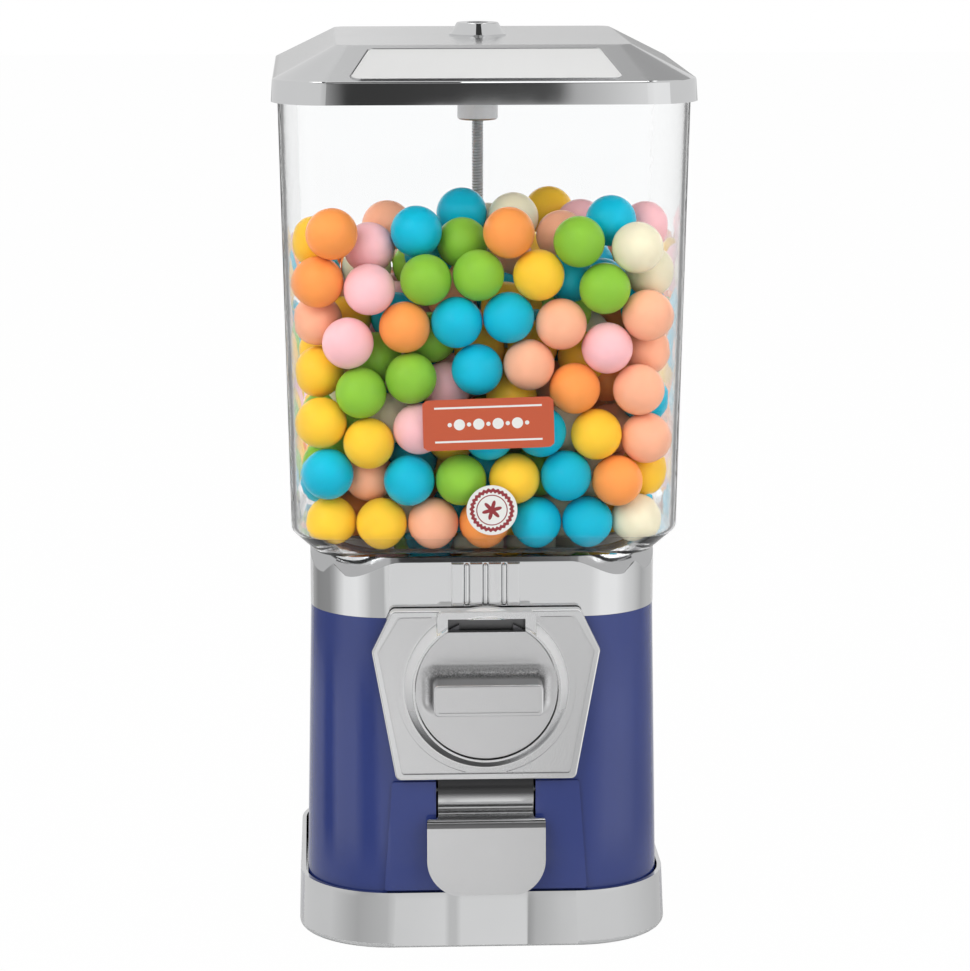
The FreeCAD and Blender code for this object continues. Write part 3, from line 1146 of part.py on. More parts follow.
def keep_inside(p):
    """Move a ball's centre back inside the globe, off the hopper and away from the rod."""
    clear = BALL_DIAMETER / 2 + BALL_GAP
    floor = GLOBE_FOOT + GLOBE_WALL + clear
    across = math.hypot(p.x, p.y)
    cone_slope = HOPPER_CONE_HEIGHT / (HOPPER_CONE_RADIUS - HOPPER_WELL_RADIUS)
    sunk = (HOPPER_CONE_RADIUS - clear * 1.25 - across) * cone_slope
    lowest = max(WHEEL_TOP + GUARD_GAP + GUARD_THICK + clear, floor - max(0.0, sunk))
    p.z = max(p.z, lowest)
    half = globe_inner_half(max(p.z, GLOBE_WAIST)) - clear
    chamfer = (GLOBE_WAIST_WIDTH - GLOBE_FOOT_WIDTH) / 2 / GLOBE_CHAMFER_HEIGHT
    low = GLOBE_WAIST + GLOBE_WAIST_ROUND + clear / 3
    if p.z < low:
        half -= (low - p.z) * chamfer * 0.62
    corner = GLOBE_WAIST_CORNER - GLOBE_WALL - clear
    p.x = max(-half, min(half, p.x))
    p.y = max(-half, min(half, p.y))
    over_x = abs(p.x) - (half - corner)
    over_y = abs(p.y) - (half - corner)
    if over_x > 0 and over_y > 0:
        reach = math.hypot(over_x, over_y)
        if reach > corner:
            p.x = math.copysign(half - corner + over_x * corner / reach, p.x)
            p.y = math.copysign(half - corner + over_y * corner / reach, p.y)
    hub = (WASHER_RADIUS if p.z < HUB_TOP + 3 * NUT_HEIGHT else ROD_RADIUS) + clear
    if across < hub:
        scale = hub / max(across, 0.1)
        p.x *= scale
        p.y *= scale


def neighbours(balls):
    """Pairs of balls close enough to touch, found on a coarse grid."""
    cell = BALL_DIAMETER + 2 * BALL_GAP
    grid = {}
    for index, ball in enumerate(balls):
        p = ball[1]
        key = (math.floor(p.x / cell), math.floor(p.y / cell), math.floor(p.z / cell))
        grid.setdefault(key, []).append(index)
    for (i, j, k), members in grid.items():
        around = [
            other for di in (-1, 0, 1) for dj in (-1, 0, 1) for dk in (-1, 0, 1)
            for other in grid.get((i + di, j + dj, k + dk), ())
        ]
        for one in members:
            for other in around:
                if other > one:
                    yield one, other


def push_apart(balls):
    """One pass that separates overlapping balls; returns the deepest overlap it met."""
    spacing = BALL_DIAMETER + BALL_GAP
    worst = 0.0
    for one, other in neighbours(balls):
        gap = balls[other][1] - balls[one][1]
        distance = gap.Length
        if distance < spacing:
            worst = max(worst, spacing - distance)
            gap.multiply((spacing - distance) * 0.5 / max(distance, 0.01))
            balls[one][1] -= gap
            balls[other][1] += gap
    return worst


def gumball_pile():
    """Colour and centre of every gumball: the front layer as laid out, the rest settled behind it."""
    draw = random.Random(PILE_SEED)
    clear = BALL_DIAMETER / 2 + BALL_GAP
    balls = []
    for colour, x, z, row in FRONT_LAYER:
        y = row * ROW_SPACING - globe_inner_half(z) + clear
        balls.append([colour, V(x, y, z), V(x, y, z)])
    count = int(2 * (globe_inner_half(GLOBE_WAIST) - clear) / PILE_SPACING) + 1
    layer = 0
    z = WHEEL_TOP + 2 * clear
    while z < PILE_TOP:
        half = globe_inner_half(max(z, GLOBE_WAIST)) - clear
        step = 2 * half / (count - 1)
        odd = layer % 2
        for i in range(count - odd):
            for j in range(count - odd):
                x = -half + (i + odd / 2) * step + draw.uniform(-PILE_JITTER, PILE_JITTER)
                y = -half + (j + odd / 2) * step + draw.uniform(-PILE_JITTER, PILE_JITTER)
                colour = draw.choice(COLOURS)
                p = V(x, y, z + draw.uniform(-PILE_JITTER, PILE_JITTER))
                in_funnel = z < GLOBE_FOOT + clear and math.hypot(x, y) > HOPPER_WELL_RADIUS - clear
                crowded = any((p - other[1]).Length < 0.8 * BALL_DIAMETER for other in balls)
                if not (in_funnel or crowded):
                    balls.append([colour, p, None])
        layer += 1
        z += PILE_LAYER
    for step in range(SETTLE_STEPS):
        for ball in balls:
            ball[1].z -= 0.25
            if ball[2] is not None:
                ball[1] += (ball[2] - ball[1]) * 0.3
        for repeat in range(3):
            push_apart(balls)
            for ball in balls:
                keep_inside(ball[1])
    for step in range(4 * SETTLE_STEPS):
        worst = push_apart(balls)
        for ball in balls:
            keep_inside(ball[1])
        if worst < BALL_GAP / 10:
            break
    kept = []
    for colour, p, anchor in balls:
        if all((p - other).Length > BALL_DIAMETER + BALL_GAP / 3 for _, other in kept):
            kept.append((colour, p))
    return kept


def make_gumballs(pile, colour):
    return Part.makeCompound([Part.makeSphere(BALL_DIAMETER / 2, p) for c, p in pile if c == colour])


def main():
    os.makedirs("parts", exist_ok=True)
    pieces = {
        "base_tray": make_base(),
        "rubber_feet": make_feet(),
        "body_shell": make_body_shell(),
        "collar": make_collar(),
        "hopper": make_hopper(),
        "globe_gasket": make_gasket(),
        "globe": make_globe(),
        "lid": make_lid(),
        "lid_boss": make_lid_boss(),
        "lock_washer": make_lock_washer(),
        "lock_housing": make_lock_housing(),
        "lock_plug": make_lock_plug(),
        "centre_rod": make_rod(),
        "rod_nut": nut_on_rod(NUT_UNDERSIDE),
        "rod_washer": washer_on_rod(WASHER_UNDERSIDE),
        "wheel_washer": washer_on_rod(HUB_TOP + SIDE_GAP),
        "wheel_nut": nut_on_rod(HUB_TOP + SIDE_GAP + WASHER_THICK),
        "dispensing_wheel": make_wheel(),
        "ball_guard": make_guard(),
        "drop_tube": make_drop_tube(),
        "chute_tube": make_chute_tube(),
        "chute_flap": make_flap(),
        "hinge_ears": make_hinge_ears(),
        "hinge_pin": make_hinge_pin(),
        "mech_plate": make_mech_plate(),
        "mech_nuts": make_mech_nuts(),
        "dial": make_dial(),
        "coin_wheel": make_coin_wheel(),
        "dial_shaft": make_shaft(),
        "ratchet_wheel": make_ratchet_wheel(),
        "ratchet_pawl": make_pawl(),
        "pawl_pin": make_pawl_pin(),
        "pawl_spring": make_pawl_spring(),
        "coin_dog": make_coin_dog(),
        "dog_spring": make_dog_spring(),
        "dog_cap": make_dog_cap(),
        "drive_gear": make_drive_gear(),
        "shaft_nut": make_shaft_nut(),
    }
    pile = gumball_pile()
    for colour in COLOURS:
        pieces["gumballs_" + colour] = make_gumballs(pile, colour)
    for name, shape in pieces.items():
        shape.exportStep("parts/" + name + ".step")
    print(len(pieces), "pieces,", len(pile), "gumballs")


main()
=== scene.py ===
"""Looks of a coin-operated gumball machine: finishes for every solid, the rod's thread,
the wound springs and two plain stickers, on a white studio sweep. Metres throughout.
"""
import json
import math

import bpy
import numpy as np
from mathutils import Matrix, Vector


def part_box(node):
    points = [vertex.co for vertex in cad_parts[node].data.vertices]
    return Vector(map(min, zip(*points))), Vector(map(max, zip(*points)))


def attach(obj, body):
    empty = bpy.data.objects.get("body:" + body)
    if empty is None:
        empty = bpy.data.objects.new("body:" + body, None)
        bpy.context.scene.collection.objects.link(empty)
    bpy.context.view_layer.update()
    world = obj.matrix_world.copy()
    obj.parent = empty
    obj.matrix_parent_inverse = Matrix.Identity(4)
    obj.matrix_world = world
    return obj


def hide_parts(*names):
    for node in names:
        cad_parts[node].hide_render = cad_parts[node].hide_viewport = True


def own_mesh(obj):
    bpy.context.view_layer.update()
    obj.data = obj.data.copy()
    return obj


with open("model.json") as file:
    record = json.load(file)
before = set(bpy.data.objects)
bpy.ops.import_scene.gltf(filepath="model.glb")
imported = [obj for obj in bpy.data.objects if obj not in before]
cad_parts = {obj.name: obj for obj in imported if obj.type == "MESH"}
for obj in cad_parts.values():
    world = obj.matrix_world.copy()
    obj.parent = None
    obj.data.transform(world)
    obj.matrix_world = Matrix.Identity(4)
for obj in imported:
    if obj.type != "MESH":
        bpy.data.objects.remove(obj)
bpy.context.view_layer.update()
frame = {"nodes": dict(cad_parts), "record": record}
MM = 0.001
FULL_TURN = 2 * math.pi

# Camera, found from the straight edges of lid, globe and base
CAMERA_PLACE = (-0.0763, -1.7062, 0.5401)
CAMERA_PITCH_DOWN = 10.980
CAMERA_YAW = 2.682
CAMERA_FOCAL_PIXELS = 3533.2
PHOTO_WIDTH = 970
SENSOR_WIDTH = 36.0

# Colours as they look on a screen, 0 to 255
GUM = {
    "orange": (252, 156, 80),
    "green": (138, 193, 60),
    "yellow": (254, 202, 56),
    "blue": (6, 182, 213),
    "pink": (253, 194, 199),
    "salmon": (253, 182, 147),
    "cream": (238, 229, 199),
}
BODY_BLUE = (51, 67, 136)
STICKER_ORANGE = (204, 86, 46)
STICKER_WHITE = (242, 242, 238)
SEAL_RED = (150, 36, 44)

# Colours as a shader takes them, 0 to 1
CHROME = (0.72, 0.725, 0.73)
SANDED = (0.69, 0.69, 0.685)
# Pale grey of the painted highlight on the plate's upturned edges and the bezel's upper part
HIGHLIGHT_PALE = (0.93, 0.93, 0.93)
SATIN = (0.665, 0.665, 0.67)
# Near-black of the painted shade on the plating
PAINTED_SHADE_TONE = (0.05, 0.05, 0.052)
CLEAR_FACE = (0.985, 0.99, 0.992)
# Grey of the painted shade where the clear plastic is seen edge on
CLEAR_EDGE_SHADE = (0.72, 0.73, 0.75)
CLEAR_SHADOW = (0.96, 0.97, 0.975)
CLEAR_GLOSS = (0.15, 0.15, 0.15)
FLOOR_WHITE = (0.9, 0.9, 0.9)
WHITE = (1.0, 1.0, 1.0)

# Painted shade on a rounded corner of the clear plastic: how much light it lets through, by how far it turns
# away from the eye
CORNER_SHADE = (
    (0.10, 0.99), (0.22, 0.93), (0.36, 0.82), (0.46, 0.68), (0.52, 0.45),
    (0.56, 0.16), (0.60, 0.06), (0.66, 0.08), (0.74, 0.45), (0.85, 0.95))

# The Mix node's sockets for colours
MIX_SHARE, MIX_FIRST, MIX_SECOND, MIX_COLOUR = 0, 6, 7, 2


def opaque(colour, share=1.0):
    """Shader colour from red, green and blue, each times a share."""
    return tuple(share * part for part in colour[:3]) + (1.0,)


def linear(rgb):
    """Colour for a shader from one that is given as it looks on a screen, by the sRGB curve."""
    values = np.asarray(rgb, float) / 255
    low = values / 12.92
    high = ((values + 0.055) / 1.055) ** 2.4
    return opaque(np.where(values < 0.04045, low, high))


class Value:
    """One output of a shader node; arithmetic on it adds Math nodes to the same tree."""

    def __init__(self, socket):
        self.socket = socket

    @classmethod
    def make(cls, tree, kind, settings=None, values=None, output=0):
        """Add a node of any kind: its settings first, then numbers, colours or links for its sockets."""
        node = tree.nodes.new("ShaderNode" + kind)
        for name, setting in (settings or {}).items():
            if name == "stops":
                ramp = node.color_ramp.elements
                while len(ramp) < len(setting):
                    ramp.new(0.5)
                for element, (place, colour) in zip(ramp, setting):
                    element.position = place
                    element.color = colour
            else:
                setattr(node, name, setting)
        for name, value in (values or {}).items():
            if isinstance(value, cls):
                tree.links.new(value.socket, node.inputs[name])
            else:
                node.inputs[name].default_value = value
        return cls(node.outputs[output]) if node.outputs else None

    def math(self, operation, *others):
        """A Math node's operation on this and other values."""
        operands = (self,) + others
        return Value.make(self.socket.id_data, "Math", {"operation": operation}, dict(enumerate(operands)))

    def __add__(self, other):
        return self.math("ADD", other)

    __radd__ = __add__

    def __sub__(self, other):
        return self.math("SUBTRACT", other)

    def __rsub__(self, other):
        return (self * -1.0) + other

    def __mul__(self, other):
        return self.math("MULTIPLY", other)

    __rmul__ = __mul__

    def __truediv__(self, other):
        return self.math("DIVIDE", other)

    def abs(self):
        """The value without its sign."""
        return self.math("ABSOLUTE")

    def at_least(self, other):
        """The larger of this and another value."""
        return self.math("MAXIMUM", other)

    def spread(self, low, high):
        """From low where this is 0 to high where it is 1."""
        return self * (high - low) + low

    def above(self, edge, soft):
        """0 below edge, 1 above it, with a ramp that is soft wide."""
        return Value.make(
            self.socket.id_data, "MapRange", {"interpolation_type": "SMOOTHSTEP"},
            {"Value": self, "From Min": edge - soft / 2, "From Max": edge + soft / 2})

    def below(self, edge, soft):
        """1 below edge, 0 above it, with a ramp that is soft wide."""
        return 1.0 - self.above(edge, soft)

    def split(self):
        """The three parts of a vector."""
        first = Value.make(self.socket.id_data, "SeparateXYZ", None, {0: self})
        return [Value(part) for part in first.socket.node.outputs]


def distance(first, *others):
    """Square root of the sum of the squares of some values."""
    return sum((other * other for other in others), first * first).math("SQRT")


class Finish:
    """A material being mixed: place and noise to read from, then one surface shader."""

    def __init__(self, name):
        self.material = bpy.data.materials.new(name)
        self.material.use_nodes = True
        self.tree = self.material.node_tree
        self.tree.nodes.clear()

    def make(self, kind, settings=None, values=None, output=0):
        """Add a node of any kind to this material."""
        return Value.make(self.tree, kind, settings, values, output)

    def place(self):
        """The point on the object, as three Values in metres."""
        return self.make("TexCoord", output="Object").split()

    def facing(self):
        """How far the surface faces right, back and up, each from -1 to 1."""
        return self.make("NewGeometry", output="Normal").split()

    def noise(self, grain, detail=3.0):
        """Smooth random value from 0 to 1 whose blotches are about grain metres across."""
        vector = self.make("TexCoord", output="Object")
        return self.make("TexNoise", None, {
            "Vector": vector, "Scale": 1 / grain, "Detail": detail, "Roughness": 0.55})

    def blend(self, share, first, second):
        """Colour between two colours."""
        values = {MIX_SHARE: share, MIX_FIRST: first, MIX_SECOND: second}
        return self.make("Mix", {"data_type": "RGBA"}, values, MIX_COLOUR)

    def bump(self, height, depth, strength):
        """Normal of a surface whose relief is height times depth, in metres."""
        return self.make("Bump", None, {"Height": height, "Distance": depth, "Strength": strength})

    def shader(self, **values):
        """The general surface shader; a socket's name has _ for each space."""
        named = {key.replace("_", " "): value for key, value in values.items()}
        return self.make("BsdfPrincipled", None, named)

    def done(self, shader):
        """The finished material, with the shader as its surface."""
        self.make("OutputMaterial", None, {"Surface": shader})
        return self.material


# Bright plating, and what its changes add to its roughness and its grain

SATIN_ROUGH = 0.26
SATIN_GRAIN = 1.1
SAND_ROUGH = 0.4
SAND_GRAIN = 2.0
SAND_BARE = 0.7
SHADE_ROUGH = 0.25


def chrome_finish(name, satin=None, sand=None, shade=None, pale=SANDED):
    """Bright plating with faint smudges.

    Masks change it: satin dulls it to a fine grain, sand makes it a pale grey (sand blasting on the lid, a
    painted highlight on the plate), shade darkens it with painted shade.
    """
    f = Finish(name)
    smudge = f.noise(30 * MM).above(0.5, soft=0.5)
    grain = f.noise(0.7 * MM, detail=2.0)
    rough = smudge.spread(0.02, 0.045)
    relief = f.noise(20 * MM, detail=1.0) * 0.04
    tone = f.blend(smudge * 0.5, opaque(CHROME), opaque(CHROME, 0.95))
    metal = 1.0
    if satin is not None:
        mask = satin(f)
        rough = rough + mask * SATIN_ROUGH
        relief = relief + mask * grain * SATIN_GRAIN
        tone = f.blend(mask, tone, opaque(SATIN))
    if sand is not None:
        mask = sand(f)
        rough = rough + mask * SAND_ROUGH
        relief = relief + mask * grain * SAND_GRAIN
        tone = f.blend(mask, tone, opaque(pale))
        metal = 1.0 - mask * SAND_BARE
    # Painted shade: darkens the plating towards a near-black
    if shade is not None:
        mask = shade(f)
        rough = rough + mask * SHADE_ROUGH
        tone = f.blend(mask, tone, opaque(PAINTED_SHADE_TONE))
    return f.done(f.shader(
        Base_Color=tone, Metallic=metal, Roughness=rough, Normal=f.bump(relief, 0.1 * MM, 0.35)))


# The lid's bare field: heights, depth of its top edge, half width at its foot, lean of its sides and corners
PANEL_FOOT = 416.1 * MM
PANEL_TOP = 427.6 * MM
PANEL_BACK = -70.2 * MM
PANEL_HALF = 62.4 * MM
PANEL_LEAN = 0.79
PANEL_CORNER = 3.0 * MM
SLOPE_PER_RISE = 3.4
# The step beside that field, and how dark its painted shade is
STEP_FOOT = 416.8 * MM
STEP_HALF = 62.7 * MM
STEP_WIDTH = 0.4 * MM
STEP_SHADE = 0.7
# The lid's rim and top, and how satin its slopes are and what its top adds
RIM_TOP = 415.2 * MM
LID_TOP = 428.9 * MM
SLOPE_SATIN = 0.3
TOP_SATIN = 0.35


def lid_panel_mask(f):
    """1 on the bare field in the lid's front slope, between leaning sides with round lower corners."""
    x, y, z = f.place()
    rise = z - PANEL_FOOT
    side = (PANEL_HALF - x.abs()) - rise * PANEL_LEAN
    height = z.above(PANEL_FOOT, soft=0.3 * MM) * z.below(PANEL_TOP, soft=0.3 * MM)
    over = (PANEL_CORNER - side).at_least(0.0)
    under = (PANEL_CORNER - rise * SLOPE_PER_RISE).at_least(0.0)
    corner = distance(over, under).below(PANEL_CORNER, soft=0.4 * MM)
    front = y.below(PANEL_BACK, soft=0.6 * MM)
    return side.above(0.0, soft=0.4 * MM) * height * corner * front


def lid_step_shade_mask(f):
    """Painted shade that rises on the step down the left side of the field in the lid's front slope."""
    x, y, z = f.place()
    side = (x + STEP_HALF) - (z - PANEL_FOOT) * PANEL_LEAN
    height = z.above(STEP_FOOT, soft=0.6 * MM) * z.below(PANEL_TOP, soft=0.3 * MM)
    front = y.below(PANEL_BACK, soft=0.6 * MM)
    return side.abs().below(STEP_WIDTH, soft=0.4 * MM) * height * front * STEP_SHADE


def lid_satin_mask(f):
    """Highest on the lid's top, less on its slopes and 0 on its rim."""
    z = f.place()[2]
    return z.above(RIM_TOP, soft=0.8 * MM) * SLOPE_SATIN + z.above(LID_TOP, soft=0.3 * MM) * TOP_SATIN


# The dial's axis and bar; the painted shade round the bar ends at a depth, a height and a reach, sooner
# above it
DIAL_HEIGHT = 129.0 * MM
BAR_HALF = 23.5 * MM
BAR_TOP = 137.5 * MM
BAR_FOOT = 125.5 * MM
BAR_SHADE_FRONT = -102.0 * MM
BAR_SHADE_FOOT = 122.0 * MM
BAR_SHADE_REACH = 4.5 * MM
BAR_SHADE_SQUEEZE = 1.75
# The plate's bezel, flat field, hood, shoulder and coin slot; how dark the painted shade in the slot is, how
# much painted highlight there is, and how the bezel's painted shade leans down and left
BEZEL_INNER = 35.0 * MM
BEZEL_OUTER = 39.0 * MM
BEZEL_BACK = -88.9 * MM
FIELD_INNER = 39.5 * MM
FIELD_FRONT = -89.6 * MM
HOOD_HALF = 23.5 * MM
HOOD_FOOT = 150.0 * MM
SHOULDER = 164.0 * MM
SLOT_HALF = 18.35 * MM
SLOT_FOOT = 156.0 * MM
SLOT_TOP = 163.4 * MM
SLOT_LIP = -91.5 * MM
SLOT_SHADE = 0.85
HIGHLIGHT_SHARE = 0.8
BEZEL_SHADE_LEFT = 0.3
BEZEL_SHADE_DOWN = 0.95
# The foot of the collar's bevel, and the flap's fold and roll, with how dark their painted shade is
BEVEL_FOOT = 176.0 * MM
BEVEL_SHADE = 0.3
FOLD_FOOT = 60.8 * MM
FOLD_TOP = 63.3 * MM
FOLD_SHADE = 0.8
FLAP_TOP = 63.0 * MM
ROLL_TOP = 74.8 * MM
ROLL_SHADE = 0.95


def all_over(f):
    """1 everywhere, for the dial, which is satin from its disc to its bar."""
    return 1.0


def bar_shade_mask(f):
    """Painted shade, speckled, that falls off from the root of the dial's bar, most above it."""
    x, y, z = f.place()
    side = (x.abs() - BAR_HALF).at_least(0.0)
    up = (z - BAR_TOP).at_least(0.0) * BAR_SHADE_SQUEEZE
    down = (BAR_FOOT - z).at_least(0.0)
    near = distance(side, up, down).below(BAR_SHADE_REACH, soft=11 * MM)
    speckle = f.noise(0.8 * MM, detail=2.0).above(0.48, soft=0.5).spread(0.38, 0.86)
    return near * y.above(BAR_SHADE_FRONT, soft=8 * MM) * z.above(BAR_SHADE_FOOT, soft=16 * MM) * speckle


def plate_mask(f):
    """High on the plate's flat field, less on its bezel, hood and rim."""
    x, y, z = f.place()
    radius = distance(x, z - DIAL_HEIGHT)
    field = radius.above(FIELD_INNER, soft=0.6 * MM) * y.above(FIELD_FRONT, soft=0.3 * MM)
    return field.spread(0.4, 0.9)


def bezel_ring(f):
    """1 on the bezel's cone, which stops at the hood; also the directions right and up from its axis."""
    x, y, z = f.place()
    up = z - DIAL_HEIGHT
    radius = distance(x, up)
    hood = x.abs().below(HOOD_HALF, soft=0.4 * MM) * z.above(HOOD_FOOT, soft=1.0 * MM)
    cone = radius.above(BEZEL_INNER, soft=0.4 * MM) * radius.below(BEZEL_OUTER, soft=0.4 * MM)
    return cone * y.below(BEZEL_BACK, soft=0.3 * MM) * (1.0 - hood), x / radius, up / radius


def plate_highlight_mask(f):
    """Painted highlight that rises on the plate's edges that face up and on the upper part of the bezel."""
    z = f.place()[2]
    ring, _, up = bezel_ring(f)
    edge = f.facing()[2].above(0.45, soft=0.3) * z.above(SHOULDER, soft=2.0 * MM)
    return (ring * up.above(-0.25, soft=0.8)).at_least(edge) * HIGHLIGHT_SHARE


def slot_shade_mask(f):
    """Painted shade that rises into the coin slot, where little light gets in, and on the foot of the bezel,
    most towards its bottom and left.
    """
    x, y, z = f.place()
    mouth = x.abs().below(SLOT_HALF, soft=0.2 * MM)
    mouth = mouth * z.above(SLOT_FOOT, soft=0.4 * MM) * z.below(SLOT_TOP, soft=0.2 * MM)
    ring, right, up = bezel_ring(f)
    bezel_shade = ring * (up * -BEZEL_SHADE_DOWN - right * BEZEL_SHADE_LEFT).above(0.80, soft=0.34)
    return (mouth * y.above(SLOT_LIP, soft=6 * MM)).at_least(bezel_shade) * SLOT_SHADE


def bevel_shade_mask(f):
    """Painted shade that rises on the collar's bevel and horns, which face up under the globe's edge."""
    z = f.place()[2]
    return f.facing()[2].above(0.2, soft=0.2) * z.above(BEVEL_FOOT, soft=2.0 * MM) * BEVEL_SHADE


def roll_shade_mask(f):
    """Painted shade that rises towards the top of the flap's roll, tucked under the plate, and below its
    fold.
    """
    z = f.place()[2]
    fold = z.above(FOLD_FOOT, soft=0.5 * MM) * z.below(FOLD_TOP, soft=0.8 * MM)
    return z.above(ROLL_TOP, soft=4.5 * MM) * ROLL_SHADE + fold * FOLD_SHADE


def flap_mask(f):
    """High on the flap's hanging plate, less on its roll."""
    return f.place()[2].below(FLAP_TOP, soft=2.0 * MM).spread(0.25, 0.75)


# Other finishes

def paint_finish():
    """Blue gloss enamel with a little orange peel."""
    f = Finish("blue_enamel")
    deeper = tuple(0.9 * part for part in BODY_BLUE)
    tone = f.blend(f.noise(80 * MM), linear(BODY_BLUE), linear(deeper))
    rough = f.noise(20 * MM).spread(0.05, 0.08)
    peel = f.noise(4 * MM, detail=1.0)
    return f.done(f.shader(Base_Color=tone, Roughness=rough, Normal=f.bump(peel, 0.02 * MM, 0.3)))


def outer_corner_mask(f):
    """1 on the outside of the four upright corners.

    There twice the product of the normal's two level parts is large, and the normal leads outwards.
    """
    x, y = f.place()[:2]
    right, back = f.facing()[:2]
    outward = (right * x + back * y).above(0.0, soft=1.0 * MM)
    outside = outward * (1.0 - f.make("NewGeometry", output="Backfacing"))
    return (right * back * 2.0).abs().above(0.2, soft=0.2) * outside


def clear_finish():
    """Clear moulded plastic with painted shade where it is seen edge on and on its outer corners, that lets
    lamp light through to what it holds.
    """
    f = Finish("clear_plastic")
    scuff = f.noise(12 * MM).above(0.62, soft=0.2)
    # Painted shade: darker where the plastic turns edge on to the eye, and by a ramp on its outer corners
    turned = f.make("LayerWeight", None, {"Blend": 0.5}, output="Facing")
    edge_on_shade = f.blend(turned.above(0.97, soft=0.08), opaque(CLEAR_FACE), opaque(CLEAR_EDGE_SHADE))
    stops = [(place, opaque(WHITE, depth)) for place, depth in CORNER_SHADE]
    corner_shade_tint = f.make("ValToRGB", {"stops": stops}, {"Fac": turned})
    tint = f.blend(outer_corner_mask(f), edge_on_shade, corner_shade_tint)
    glass = f.shader(
        Base_Color=tint, Roughness=scuff * 0.02, IOR=1.36, Specular_Tint=opaque(CLEAR_GLOSS),
        Transmission_Weight=1.0)
    through = f.make("BsdfTransparent", None, {"Color": opaque(CLEAR_SHADOW)})
    shadow = f.make("LightPath", output="Is Shadow Ray")
    return f.done(f.make("MixShader", None, {0: shadow, 1: glass, 2: through}))


def gum_finish(colour):
    """Sugar shell: satin gloss, a little uneven in colour, with fine pores."""
    f = Finish("gum_" + colour)
    base = linear(GUM[colour])
    tone = f.blend(f.noise(14 * MM).above(0.5, soft=0.6), base, opaque(base, 0.86))
    rough = f.noise(4 * MM).spread(0.18, 0.28)
    pores = f.noise(1.2 * MM, detail=2.0)
    return f.done(f.shader(
        Base_Color=tone, Roughness=rough, Specular_IOR_Level=0.12, Subsurface_Weight=0.06,
        Subsurface_Scale=2 * MM, Normal=f.bump(pores, 0.03 * MM, 0.5)))


def metal_finish(name, colour, rough, grain):
    """Plain metal with a cast grain, at about the given roughness."""
    f = Finish(name)
    streak = f.noise(grain)
    tone = f.blend(streak, opaque(colour), opaque(colour, 0.78))
    return f.done(f.shader(
        Base_Color=tone, Metallic=1.0, Roughness=streak.spread(rough - 0.07, rough + 0.08),
        Normal=f.bump(streak, 0.03 * MM, 0.4)))


def moulded_finish(name, colour, rough):
    """Plastic or rubber with a fine moulded texture, at about the given roughness."""
    f = Finish(name)
    tone = f.blend(f.noise(20 * MM), opaque(colour), opaque(colour, 0.85))
    grain = f.noise(0.8 * MM, detail=2.0)
    return f.done(f.shader(
        Base_Color=tone, Roughness=grain.spread(rough - 0.07, rough + 0.08),
        Normal=f.bump(grain, 0.05 * MM, 0.4)))


# Pieces made here

def grid_faces(points, wrap):
    """Quads between neighbouring rows of a grid of points; wrap closes each row on itself."""
    rows, columns = points.shape[:2]
    across = columns if wrap else columns - 1
    i, j = np.meshgrid(np.arange(rows - 1), np.arange(across), indexing="ij")
    following = (j + 1) % columns
    quads = [i * columns + j, i * columns + following, (i + 1) * columns + following, (i + 1) * columns + j]
    return np.stack(quads, -1).reshape(-1, 4)


def mesh_piece(name, points, faces, body, material, uv=None):
    """Mesh of a grid of points riding on a body, smooth shaded."""
    mesh = bpy.data.meshes.new(name)
    mesh.from_pydata(points.reshape(-1, 3).tolist(), [], faces.tolist())
    mesh.polygons.foreach_set("use_smooth", np.ones(len(mesh.polygons), bool))
    if uv is not None:
        loops = np.zeros(len(mesh.loops), np.int32)
        mesh.loops.foreach_get("vertex_index", loops)
        layer = mesh.uv_layers.new(name=STICKER_MAP)
        layer.data.foreach_set("uv", uv.reshape(-1, 2)[loops].astype(np.float32).ravel())
    mesh.materials.append(material)
    mesh.update()
    piece = bpy.data.objects.new(name, mesh)
    bpy.context.scene.collection.objects.link(piece)
    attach(piece, body)
    return piece


def capped(points):
    """Close both ends of a tube grid by shrinking its first and last rows to their centres."""
    first = np.repeat(points[:1].mean(1, keepdims=True), points.shape[1], 1)
    last = np.repeat(points[-1:].mean(1, keepdims=True), points.shape[1], 1)
    return np.concatenate([first, points, last])


def threaded_rod():
    """Screw surface: the radius falls from the crest by a triangle wave of z / pitch - turn.

    The wave is a little rounded by a power, and the radius is cut to a cone at both ends.
    """
    low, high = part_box("centre_rod")
    crest = (high.x - low.x) / 2
    pitch = 1.4 * MM
    depth = 0.5 * MM
    chamfer = 0.8 * MM
    rows_in_pitch = 5
    roundness = 0.8
    turn = np.linspace(0, 1, 16, endpoint=False)[None, :]
    z = np.linspace(low.z, high.z, int((high.z - low.z) / pitch * rows_in_pitch))[:, None]
    phase = (z / pitch - turn) % 1.0
    radius = crest - depth * (1 - np.abs(2 * phase - 1)) ** roundness
    ends = np.clip(np.minimum(z - low.z, high.z - z) / chamfer, 0, 1)
    radius = np.minimum(radius, crest - (1 - ends) * chamfer)
    angle = FULL_TURN * turn + 0 * z
    points = capped(np.stack([radius * np.cos(angle), radius * np.sin(angle), z + 0 * angle], -1))
    rod = mesh_piece(
        "threaded_rod", points, grid_faces(points, True), "cabinet", finishes["steel"])
    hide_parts("centre_rod")


